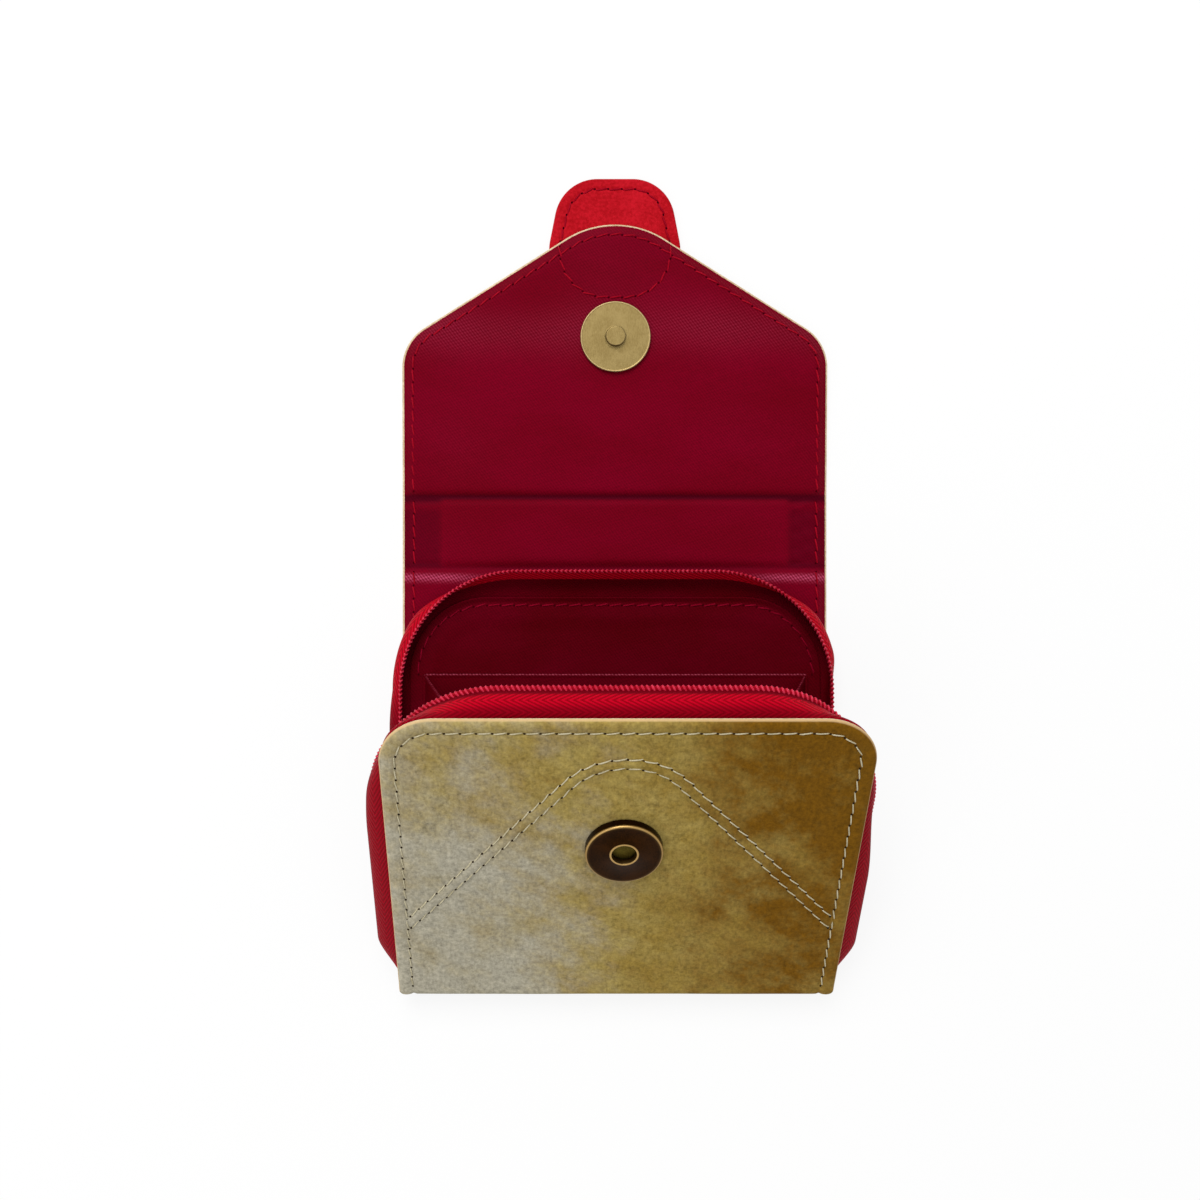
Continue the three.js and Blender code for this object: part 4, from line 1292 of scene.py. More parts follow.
def stitch_bead(length: float, radius: float, finish: Material) -> Piece:
    """Makes one slanted stitch, which rises out of one hole and dips into the next.

    Args:
        length: Length of the stitch.
        radius: Radius of the thread.
        finish: Material of the thread.

    Returns:
        The bead.
    """
    shares = np.linspace(-1, 1, 7)
    angles = full_turn(6)
    middle = radius * (1.5 * (1 - shares ** 4) - 0.9)
    swell = radius * (0.7 + 0.3 * (1 - shares ** 4))
    aside = radius * (0.7 * shares - 0.5)
    rings = np.stack([
        np.repeat(shares[:, None] * length / 2, len(angles), axis=1),
        aside[:, None] + swell[:, None] * np.cos(angles),
        middle[:, None] + swell[:, None] * np.sin(angles),
    ], axis=-1)
    return rings_piece("stitch_bead", rings, finish)


def hole_bead(radius: float, finish: Material) -> Piece:
    """Makes the dark mouth of one needle hole, which is painted shade in the hole.

    Args:
        radius: Radius of the hole, which is a little longer along the row.
        finish: Material of the hole.

    Returns:
        The bead.
    """
    profile = [(radius, -0.12), (radius, 0.02), (0.55 * radius, 0.05)]
    angles = full_turn(8)
    rings = np.array([[(1.25 * r * math.cos(a), r * math.sin(a), z) for a in angles] for r, z in profile])
    return rings_piece("hole_bead", rings, finish)


def tooth_bead(
    wide: float, tall: float, wire: float, slant: float, finish: Material,
) -> Piece:
    """Makes one turn of the coil as a slanted ring.

    Args:
        wide: Half the ring's size across the tape's thickness.
        tall: Half the ring's size along the tape's width.
        wire: Radius of the wire.
        slant: How far the ring leans along the row.
        finish: Material of the coil.

    Returns:
        The bead.
    """
    around, section = np.meshgrid(full_turn(12), full_turn(5), indexing="ij")
    rings = np.stack([
        wire * np.sin(section) - slant * np.cos(around),
        (wide + wire * np.cos(section)) * np.sin(around),
        (tall + wire * np.cos(section)) * np.cos(around),
    ], axis=-1)
    return rings_piece("tooth_bead", rings, finish, capped=False)


@dataclass
class Stitching:
    """Sewn rows of the purse, collected by body and laid at the end."""

    finishes: Finishes
    beads: BeadRow
    pitch: float = 3.5
    length: float = 0.94 * 3.5
    pale_radius: float = 0.17
    red_radius: float = 1.3 * 0.17
    hole_radius: float = 0.27
    start: float = 0.5
    slant: float = 4
    wobble: float = 3
    rows: dict[tuple[Body, Thread], list[Row]] = field(default_factory=dict)

    def sew(self, body: Body, thread: Thread, *rows: Row) -> None:
        """Adds rows of a thread to a body."""
        self.rows.setdefault((body, thread), []).extend(rows)

    def build(self) -> None:
        """Lays all the stitches and their needle holes."""
        finishes = self.finishes
        pale = stitch_bead(self.length, self.pale_radius, finishes.pale_thread)
        thick = stitch_bead(self.length, self.red_radius, finishes.red_thread)
        hole = hole_bead(self.hole_radius, finishes.needle_hole)
        looks = {
            Thread.PALE: (pale, finishes.pale_thread, finishes.needle_hole),
            Thread.RED: (thick, finishes.red_thread, finishes.cloth_hole),
            Thread.DARK: (thick, finishes.dark_thread, finishes.cloth_hole),
        }
        for (body, thread), rows in self.rows.items():
            stitch, thread_finish, hole_finish = looks[thread]
            name = f"{body.value}_{thread.value}"
            seat(self.beads.lay(
                f"{name}_stitches", rows, stitch, thread_finish, self.pitch,
                self.start, self.slant, self.wobble,
            ), body)
            seat(self.beads.lay(f"{name}_needle_holes", rows, hole, hole_finish, self.pitch), body)
        for bead in (pale, thick, hole):
            bpy.data.objects.remove(bead)


# Sub-assemblies


@dataclass
class LeatherCover:
    """Outer skin of the purse, one long strip that folds at four creases."""

    finishes: Finishes
    stitching: Stitching
    tray_depth: float = 1.7
    rolled_radius: float = 1.1
    turned_width: float = 2.3
    skin_radius: float = 0.4
    front_stitch_inset: float = 3.6
    side_stitch_inset: float = 2.8
    groove_depth: float = 0.26
    groove_width: float = 0.5
    shallow_groove: float = 0.6 * 0.26
    roll_height: float = 0.16
    roll_width: float = 1.0
    swell_height: float = 0.07
    swell_length: float = 9
    welt_from_top: float = 11.0
    welt_slope: float = math.radians(50)
    welt_radius: float = 18.0
    welt_width: float = 2.6
    welt_height: float = 0.35
    welt_end_inset: float = 4.4

    def welt_rows(self) -> tuple[float, float]:
        """Returns the radii of the two rows that hold the welt."""
        return self.welt_radius, self.welt_radius - self.welt_width

    def chevron(self, radius: float) -> Array:
        """Draws one row of the chevron, from its right foot over the apex to its left foot.

        Args:
            radius: Radius of the row at the apex.

        Returns:
            A polyline in flat coordinates.
        """
        centre = FRONT_LENGTH - self.welt_from_top - self.welt_radius
        end = HALF_WIDTH - self.welt_end_inset
        angles = np.linspace(QUARTER_TURN - self.welt_slope, QUARTER_TURN + self.welt_slope, 41)
        arc = np.stack([radius * np.cos(angles), centre + radius * np.sin(angles)], axis=-1)
        foot = arc[0, 1] - (end - arc[0, 0]) * math.tan(self.welt_slope)
        return np.vstack([[end, foot], arc, [-end, foot]])

    def front_outer(self, flat: Flat) -> Array:
        """Shapes the outer face of the front panel, with its rolled edge, welt and sewn grooves.

        Args:
            flat: Points of the panel.

        Returns:
            Levels of the face.
        """
        middle = OUTER_LEVEL + self.tray_depth / 2
        inward = self.groove_depth * bell(flat.rim - self.front_stitch_inset, self.groove_width)
        roll = self.roll_height * bell(flat.rim - 0.5 * self.front_stitch_inset, self.roll_width)
        half = self.welt_width / 2
        welt = line_distance(flat.x, flat.reach, self.chevron(self.welt_radius - half))
        raised = self.welt_height * (1 - smoothstep(welt, half - 0.8, half + 0.2))
        for radius in self.welt_rows():
            row = line_distance(flat.x, flat.reach, self.chevron(radius))
            inward = inward + self.shallow_groove * bell(row, self.groove_width)
        swell = self.swell_height * soft_wave(flat.x, flat.reach, self.swell_length)
        plateau = OUTER_LEVEL - roll - raised + inward + swell * smoothstep(flat.rim, 1, 6)
        return round_edge(plateau, middle, flat.rim, self.rolled_radius)

    def front_inner(self, flat: Flat) -> Array:
        """Shapes the inner face of the front panel, a turned edge round the bed of the board.

        Args:
            flat: Points of the panel.

        Returns:
            Levels of the face.
        """
        middle = OUTER_LEVEL + self.tray_depth / 2
        bed = smoothstep(flat.rim, self.turned_width, self.turned_width + 0.3)
        spine = 1 - smoothstep(flat.reach, 0, self.turned_width)
        sunk = np.maximum(bed, spine) * (self.tray_depth - SKIN_THICKNESS)
        return round_edge(OUTER_LEVEL + self.tray_depth - sunk, middle, flat.rim, self.rolled_radius)

    def plain_outer(self, flat: Flat) -> Array:
        """Returns the outer face of the other panels."""
        inward = self.shallow_groove * bell(flat.rim - self.side_stitch_inset, self.groove_width)
        return round_edge(OUTER_LEVEL + inward, OUTER_LEVEL + SKIN_THICKNESS / 2, flat.rim, self.skin_radius)

    def plain_inner(self, flat: Flat) -> Array:
        """Returns the flesh side of the other panels."""
        face = np.full(flat.x.shape, FLESH_LEVEL)
        return round_edge(face, OUTER_LEVEL + SKIN_THICKNESS / 2, flat.rim, self.skin_radius)

    def build(self) -> None:
        """Builds the four stretches of the cover and sews their edges."""
        finishes = [self.finishes.nubuck, self.finishes.flesh]
        plain, front = (self.plain_outer, self.plain_inner), (self.front_outer, self.front_inner)
        lower, upper = (strip_outline(0, -HALF_BACK, far) for far in (HALF_FOOT, HALF_TOP))
        for name, crease, outline, faces, replaced in (
            ("front_cover", FRONT_CREASE, front_outline(0, -HALF_FOOT), front, ["front_skin"]),
            ("lower_back_cover", BOTTOM_CREASE, lower, plain, ["bottom_spine_skin"]),
            ("upper_back_cover", TOP_CREASE, upper, plain, ["back_skin", "top_spine_skin"]),
            ("flap_cover", FLAP_CREASE, flap_outline(0, -HALF_TOP), plain, ["flap_skin"]),
        ):
            panel = Slab(name, crease, outline, *faces, finishes, LEATHER_STEP).build()
            seat_across(panel, crease, Slot.SUEDE, replaced)
        self.sew_front()
        self.sew_outer_edges()

    def sew_front(self) -> None:
        """Sews the edge and the chevron of the front panel."""
        level = OUTER_LEVEL + 0.7 * self.groove_depth
        edge = front_outline(self.front_stitch_inset, STITCH_END_GAP).loop()
        self.stitching.sew(Body.FRONT, Thread.PALE, surface_row(FRONT_CREASE, edge, level, -1))
        for radius in self.welt_rows():
            row = surface_row(FRONT_CREASE, self.chevron(radius), OUTER_LEVEL, -1)
            self.stitching.sew(Body.FRONT, Thread.PALE, row)

    def sew_outer_edges(self) -> None:
        """Sews the edges of the flap, the top spine and the back on their outer faces."""
        level = OUTER_LEVEL + 0.4 * self.groove_depth
        flap = flap_outline(self.side_stitch_inset, STITCH_END_GAP).loop()
        self.stitching.sew(Body.FLAP, Thread.PALE, surface_row(FLAP_CREASE, flap, level, -1))
        x = HALF_WIDTH - self.side_stitch_inset
        for side in (-x, x):
            for body, start, end in ((Body.TOP_SPINE, 0, TOP_SPINE_LENGTH), (Body.BACK, -2 * HALF_BACK, 0)):
                line = np.array([[side, start + STITCH_END_GAP], [side, end - STITCH_END_GAP]])
                self.stitching.sew(body, Thread.PALE, surface_row(TOP_CREASE, line, level, -1))


@dataclass
class Lining:
    """Cloth that lines the cover, sewn down at its edges and sunk at the creases."""

    finishes: Finishes
    stitching: Stitching
    thickness: float = 0.4
    edge_drop: float = 0.95
    edge_slope: float = 2.5
    deepest: float = 1.05
    crease_drop: float = 0.85
    crease_width: float = 1.2
    groove_depth: float = 0.12
    groove_width: float = 0.45
    spine_board_half: float = 44.75
    side_sag: float = 0.55
    crumple: float = 0.16
    upper_swell: float = 0.06
    plain_swell: float = 0.05
    stitch_inset: float = 3.0
    stitch_end_gap: float = 1.2
    tape_start: float = 31.0
    flap_share: float = 0.82
    strip_share: float = 0.99

    def upper_level(self, x: Array, y: Array, rim: Array) -> Array:
        """Shapes the face of the cloth from the back panel to the tip of the flap.

        Args:
            x: Places across the strip.
            y: Places along the strip, from the middle of the back panel.
            rim: Distances to the edge of the cloth.

        Returns:
            Levels of the face.
        """
        drop = self.edge_drop * (1 - smoothstep(rim, 0, self.edge_slope))
        drop = drop + self.groove_depth * bell(rim - (self.stitch_inset - LINING_INSET), self.groove_width)
        drop = drop + self.crease_drop * bell(y - FLAP_START, self.crease_width)
        drop = drop + 0.75 * self.crease_drop * bell(y - HALF_BACK, self.crease_width)
        on_spine = smoothstep(y, HALF_BACK, HALF_BACK + 1.5)
        on_spine = on_spine * (1 - smoothstep(y, FLAP_START - 1.5, FLAP_START))
        beside_board = smoothstep(np.abs(x), self.spine_board_half - 0.6, self.spine_board_half + 0.9)
        drop = drop + self.side_sag * on_spine * beside_board
        crumple = self.crumple * np.sin(1.5 * y + 0.35 * x) * np.sin(0.9 * x + 0.5)
        drop = drop + crumple * on_spine * beside_board * smoothstep(x, 0, 10)
        swell = self.upper_swell * soft_wave(x, y, 11) * smoothstep(rim, 1, 6)
        return swell - np.minimum(drop, self.deepest)

    def upper_face(self, flat: Flat, start: float) -> Array:
        """Returns the face of an upper cloth whose crease lies at a place along the strip."""
        return self.upper_level(flat.x, flat.reach + start, flat.rim)

    def upper_painted_shading(self, flat: Flat, start: float) -> Array:
        """Paints light and shade on an upper cloth: painted shade beside the spine board and in creases, and
        painted highlights on folds and near the snap.

        Args:
            flat: Points of the cloth.
            start: Place of its crease along the strip.

        Returns:
            Shading values, below zero where painted shade darkens the cloth.
        """
        x, y = flat.x, flat.reach + start
        side = smoothstep(np.abs(x), self.spine_board_half - 0.8, self.spine_board_half + 0.8)
        on_spine = smoothstep(y, HALF_BACK - 0.5, HALF_BACK + 1)
        on_spine = on_spine * (1 - smoothstep(y, FLAP_START - 1, FLAP_START))
        # Painted shade beside the spine board and in the creases.
        painted_shade = 0.5 * side * on_spine + 0.95 * bell(y - FLAP_START, 0.8) + 0.4 * bell(y - HALF_BACK, 0.9)
        # Painted highlights on a fold beside the top crease and a tuck beside the flap crease, a broad
        # painted sheen near the snap, and a faint random tone.
        fold = 0.45 * bell(y - HALF_BACK + 2.6, 1.2) * smoothstep(np.abs(x), 26, 44)
        tuck = 0.32 * bell(y - FLAP_START + 2.4, 0.9) * side
        sheen = 0.13 * bell(y - FLAP_START - FLAP_SNAP_REACH - 2, 8)
        return fold + tuck + sheen + 0.05 * soft_wave(x, y, 13) - painted_shade

    def plain_level(self, flat: Flat) -> Array:
        """Shapes the face of the cloth on the front panel and the bottom spine.

        Args:
            flat: Points of the cloth.

        Returns:
            Levels of the face.
        """
        drop = self.edge_drop * (1 - smoothstep(flat.rim, 0, self.edge_slope))
        drop = drop + 0.5 * self.crease_drop * bell(flat.reach, self.crease_width)
        swell = self.plain_swell * soft_wave(flat.x, flat.reach, 10) * smoothstep(flat.rim, 1, 6)
        return swell - np.minimum(drop, self.deepest)

    def build(self) -> None:
        """Builds the four cloths and sews their edges."""
        inset = LINING_INSET
        upper, lower = (strip_outline(inset, -HALF_BACK, far) for far in (HALF_TOP, HALF_FOOT))
        flap_faces, back_faces = (
            {"level": partial(self.upper_face, start=start), "painted_shading": partial(self.upper_painted_shading, start=start)}
            for start in (FLAP_START, HALF_BACK)
        )
        red = {"finish": self.finishes.crimson, "thickness": self.thickness}
        dark = {"finish": self.finishes.dark, "thickness": self.thickness, "level": self.plain_level}
        flap = Cloth("flap_lining_cloth", FLAP_CREASE, flap_outline(inset, -HALF_TOP), **flap_faces, **red)
        back = Cloth("back_lining_cloth", TOP_CREASE, upper, **back_faces, **red)
        foot = Cloth("foot_lining_cloth", BOTTOM_CREASE, lower, **dark)
        front = Cloth("front_lining_cloth", FRONT_CREASE, front_outline(inset, -HALF_FOOT), **dark)
        for cloth, slot, replaced, cover, length in (
            (flap, Slot.CRIMSON, ["flap_lining", "top_spine_lining"], "flap_cover", FLAP_TIP + HALF_TOP),
            (back, Slot.CRIMSON, ["back_lining"], "upper_back_cover", HALF_BACK + HALF_TOP),
            (foot, Slot.DARK, ["bottom_spine_lining"], "lower_back_cover", HALF_BACK + HALF_FOOT),
            (front, Slot.DARK, ["front_lining"], "front_cover", FRONT_LENGTH + HALF_FOOT),
        ):
            piece = cloth.build()
            seat_across(piece, cloth.crease, slot, replaced)
            share = self.flap_share if cloth is flap else self.strip_share
            size = (2 * (HALF_WIDTH - inset) * MM, (length - inset) * MM)
            area = share * size[0] * size[1]
        self.sew()

    def sew(self) -> None:
        """Sews the red rows along the edges."""
        x, gap = HALF_WIDTH - self.stitch_inset, self.stitch_end_gap
        rim = np.array(self.stitch_inset - LINING_INSET)
        edge = flap_outline(self.stitch_inset, 1.6).loop()
        level = self.upper_level(edge[:, 0], edge[:, 1] + FLAP_START, rim)
        self.stitching.sew(Body.FLAP, Thread.RED, surface_row(FLAP_CREASE, edge, level, 1))
        for side in (-x, x):
            for body, first, last in (
                (Body.TOP_SPINE, HALF_BACK + gap, FLAP_START - gap),
                (Body.BACK, self.tape_start, HALF_BACK - gap),
            ):
                y = np.linspace(first, last, 24)
                line = np.stack([np.full(y.shape, side), y - HALF_BACK], axis=-1)
                level = self.upper_level(line[:, 0], y, rim)
                self.stitching.sew(body, Thread.RED, surface_row(TOP_CREASE, line, level, 1))


@dataclass(frozen=True)
class ZipPath:
    """Path up one side of a panel, round its far corners and down the other side."""

    half_width: float
    top: float
    corner: float
    bottom: float

    def at(self, share: Array) -> tuple[Array, Array]:
        """Follows the path.

        Args:
            share: Share of the way from the middle of the top to a lower end, negative on the left.

        Returns:
            Points and outward directions.
        """
        side = np.where(share < 0, -1.0, 1.0)
        arc_x, arc_y = self.half_width - self.corner, self.top - self.corner
        arc_length = self.corner * QUARTER_TURN
        distance = np.abs(share) * (arc_x + arc_length + arc_y - self.bottom)
        turn = np.clip((distance - arc_x) / self.corner, 0, QUARTER_TURN)
        outward = np.stack([side * np.sin(turn), np.cos(turn)], axis=-1)
        x = side * (np.minimum(distance, arc_x) + self.corner * np.sin(turn))
        y = arc_y + self.corner * np.cos(turn) - np.maximum(distance - arc_x - arc_length, 0)
        return np.stack([x, y], axis=-1), outward


@dataclass(frozen=True)
class ZipLines:
    """Sewn line and chain of a zip half, their outward directions and the share of side, left to right."""

    sewn: Array
    chain: Array
    sewn_outward: Array
    outward: Array
    beside: Array


SKIRT_SHARES = np.linspace(0, 1, 21)[1:]
FLANGE_STATIONS = 4
MID_SKIRT = 8


@dataclass
class ZipHalf:
    """One half of the open zip: a woven tape that turns up from the panel, and a nylon coil on its edge.

    A pair of values is for the left and the right side.
    """

    name: str
    body: Body
    crease: Crease
    offset: float
    sewn: ZipPath
    chain: ZipPath
    finishes: Finishes
    beads: BeadRow
    top_height: float
    side_height: tuple[float, float]
    right_inset: float
    corner_bow: float
    side_bow: tuple[float, float]
    bow_start: tuple[float, float]
    bow_end: tuple[float, float]
    upright: float
    outward_lean: float
    slack: float
    tape_reach: float
    coil_wide: float
    side_shade: float
    low_shade: float
    stations: int = 150
    flange: float = 4.5
    flange_end: float = 1.0
    thickness: float = 0.5
    level: float = 0.5
    end_height: float = 1.8
    taper: float = 12.0
    bow_ease: tuple[float, float] = (28, 9)
    red_inside: float = 2.4
    coil_pitch: float = 1.14
    coil_tall: float = 0.6
    coil_wire: float = 0.28
    coil_slant: float = 0.34

    def place(self, points: Array) -> Array:
        """Returns the purse's own coordinates of points in the panel's x, y and level."""
        return self.crease.place(points[..., 0], points[..., 1] + self.offset, points[..., 2])

    def lines(self) -> ZipLines:
        """Returns the lines that the tape runs between."""
        share = np.linspace(-1, 1, 2 * self.stations + 1)
        sewn, sewn_outward = self.sewn.at(share)
        chain, outward = self.chain.at(share)
        fullness = smoothstep(chain[:, 1] - self.chain.bottom, -0.25 * self.taper, self.taper)
        beside = smoothstep(self.chain.top - chain[:, 1], 1, 14)
        side_height = np.where(chain[:, 0] < 0, *self.side_height)
        height = self.top_height + (side_height - self.top_height) * beside
        height = self.end_height + (height - self.end_height) * fullness
        x = chain[:, 0] - self.right_inset * beside * (chain[:, 0] > 0)
        x = sewn[:, 0] + (x - sewn[:, 0]) * fullness
        zero = np.zeros((len(share), 1))
        return ZipLines(
            np.hstack([sewn, zero + self.level]), np.stack([x, chain[:, 1], height], axis=-1),
            np.hstack([sewn_outward, zero]), np.hstack([outward, zero]), (beside * fullness)[:, None],
        )

    def facing(self) -> Array:
        """Returns the way in which the coil points, away from the sewn edge, partly upright or outwards."""
        lines = self.lines()
        lean = self.outward_lean * (1 - smoothstep(self.chain.top - lines.chain[:, 1:2], 12, 34))
        across = unit(lines.chain - lines.sewn) * (1 - self.upright - lean)
        return unit(across + np.array([0, 0, self.upright]) + lean * lines.outward)

    def tape_line(self) -> Array:
        """Returns the middle of the tape, station by station from its sewn edge to the chain."""
        lines = self.lines()
        sewn, chain, outward, beside = lines.sewn, lines.chain, lines.outward, lines.beside
        insets = np.linspace(self.flange, self.flange_end, FLANGE_STATIONS)
        flange = [sewn - lines.sewn_outward * inset for inset in insets]
        start, end = flange[-1], chain + self.tape_reach * self.facing()
        gap = np.linalg.norm((chain - sewn)[:, :2], axis=1, keepdims=True)
        pairs = (self.side_bow, self.bow_start, self.bow_end)
        side_bow, bow_start, bow_end = (np.where(chain[:, :1] < 0, *pair) for pair in pairs)
        lower = smoothstep(self.chain.top - chain[:, 1:2], bow_start, bow_start + self.bow_ease[0])
        bow = self.corner_bow * 2 * np.abs(outward[:, :1]) * outward[:, 1:2] + side_bow * lower
        bow = bow * beside * smoothstep(chain[:, 1:2], bow_end, bow_end + self.bow_ease[1])
        first = sewn + (0.5 + 0.45 * beside) * gap * outward + np.array([0, 0, 0.2])
        rise = (chain[:, 2] - self.level)[:, None]
        drawn = self.slack * gap * (1 - beside)
        last = chain + (2.3 * bow - drawn) * outward - np.array([0, 0, 0.42]) * rise
        skirt = [
            (1 - t) ** 3 * start + 3 * t * (1 - t) ** 2 * first + 3 * t * t * (1 - t) * last + t ** 3 * end
            for t in SKIRT_SHARES
        ]
        return np.stack([*flange, *skirt], axis=1)

    def painted_shading(self) -> Array:
        """Returns the painted shade of the tape: at the leather and under the coil, past the bow at the
        sides, and further from the top.
        """
        lines = self.lines()
        share = np.concatenate([np.zeros(FLANGE_STATIONS), SKIRT_SHARES])[None, :]
        # Painted shade by the leather and under the coil, deepening past the bow at the sides.
        top = 0.62 * (1 - smoothstep(share, 0.3, 0.62)) + 0.9 * smoothstep(share, 0.75, 0.84)
        side = 0.5 + 0.45 * smoothstep(share, 0.55, 0.75)
        # Painted shade that grows further from the top.
        low = smoothstep(self.chain.top - lines.chain[:, 1:2], 22, 42)
        return -(top + (side - top) * lines.beside) * self.side_shade - self.low_shade * low

    def tape(self) -> Piece:
        """Returns the tape, red outside and along a strip inside by the coil, and dark lining cloth over the
        rest of the inner face as painted shade.
        """
        line = self.tape_line()
        normal = unit(np.cross(np.gradient(line, axis=0), np.gradient(line, axis=1)))
        outside = np.sign(np.sum(normal[:, MID_SKIRT] * self.lines().outward, axis=1).mean())
        sides = [line + way * outside * normal * self.thickness / 2 for way in (1, -1)]
        rings = np.concatenate([sides[0], sides[1][:, ::-1]], axis=1)
        count, wide = line.shape[:2]
        size = 2 * wide
        reach = run_along(line)
        reach = np.concatenate([reach, reach[:, ::-1]], axis=1)
        travel = run_along(line[:, FLANGE_STATIONS - 1])
        flat = np.stack([np.repeat(travel[:, None], size, axis=1), reach], axis=-1)
        faces = grid_faces(count, size, closed=True)
        middle = reach[count // 2]
        column = np.arange(len(faces)) % size
        # The dark lining on the inner face, past the red strip, is painted shade.
        faced = (column >= wide) & (column < size - 1) & (middle[column] < middle[wide] - self.red_inside)
        finish_index = faced.astype(int).tolist() + [0, 0]
        painted_shading = self.painted_shading()
        values = {"painted_shading": np.concatenate([painted_shading, 0 * painted_shading], axis=1)}
        parts = MeshParts(self.place(rings), faces + end_caps(count, size), finish_index, flat, values)
        return make_piece(f"{self.name}_tape", parts, [self.finishes.tape, self.finishes.dark])

    def row(self) -> Row:
        """Returns the path of the coil."""
        chain = self.lines().chain
        points = self.place(chain)
        return Row(points, self.place(chain + self.facing()) - points)

    def core(self, row: Row) -> Piece:
        """Makes the cord inside the coil.

        Args:
            row: Path of the coil.

        Returns:
            The piece.
        """
        sideways = np.cross(row.facing, unit(np.gradient(row.points, axis=0)))
        angles = full_turn(8)[None, :, None]
        rings = row.points[:, None] + self.coil_wide * np.cos(angles) * sideways[:, None]
        rings = rings + self.coil_tall * np.sin(angles) * row.facing[:, None]
        return rings_piece(f"{self.name}_coil_cord", rings, self.finishes.cord)

    def build(self) -> None:
        """Builds the tape and the coil and dresses the stops."""
        nylon, row = self.finishes.nylon, self.row()
        tape = self.tape()
        seat(tape, self.body, Slot.TAPE, [f"{self.name}_zip_tape"])
        width = float(run_along(self.tape_line()[self.stations])[-1])
        row.length() * MM
        tooth = tooth_bead(self.coil_wide, self.coil_tall, self.coil_wire, self.coil_slant, nylon)
        coil = self.beads.lay(f"{self.name}_coil_teeth", [row], tooth, nylon, self.coil_pitch)
        bpy.data.objects.remove(tooth)
        seat(coil, self.body, Slot.NYLON, [f"{self.name}_zip_coil"])
        seat(self.core(row), self.body, Slot.NYLON)
        stops = [f"{self.name}_zip_stop_{side}" for side in ("left", "right")]
        dress_nodes(self.finishes.brass, *stops)


def zip_halves(finishes: Finishes, beads: BeadRow) -> list[ZipHalf]:
    """Sets out both halves of the zip.

    Args:
        finishes: Materials of the purse.
        beads: Tree that lays the coils.

    Returns:
        The half on the back panel and the half on the front panel.
    """
    inset, end = 1.2, 6.0 - HALF_BACK
    half = HALF_WIDTH - inset
    back_sewn = ZipPath(half, HALF_BACK - 8, 18, end)
    back_chain = ZipPath(half + 0.95, HALF_BACK - 1.1, 30, end)
    front_sewn = ZipPath(half, FRONT_LENGTH - inset, FRONT_CORNER_RADIUS - inset, 4.0)
    front_chain = ZipPath(half + 4.4, FRONT_LENGTH + 1.9, 30.6, 1.5)
    return [
        ZipHalf(
            "back", Body.BACK, TOP_CREASE, -HALF_BACK, back_sewn, back_chain, finishes, beads,
            top_height=6.4, side_height=(6.4, 6.4), right_inset=0.0, corner_bow=2.2,
            side_bow=(2.7, 2.0), bow_start=(12, 12), bow_end=(-6, 15), upright=0.9, outward_lean=0.0,
            slack=0.4, tape_reach=0.1, coil_wide=0.24, side_shade=0.0, low_shade=0.8,
        ),
        ZipHalf(
            "front", Body.FRONT, FRONT_CREASE, 0, front_sewn, front_chain, finishes, beads,
            top_height=6.6, side_height=(6.0, 3.6), right_inset=1.0, corner_bow=0.0,
            side_bow=(1.7, 2.1), bow_start=(12, 28), bow_end=(-9, -9), upright=0.0, outward_lean=0.55,
            slack=0.0, tape_reach=-0.4, coil_wide=0.5, side_shade=1.0, low_shade=0.0,
        ),
    ]


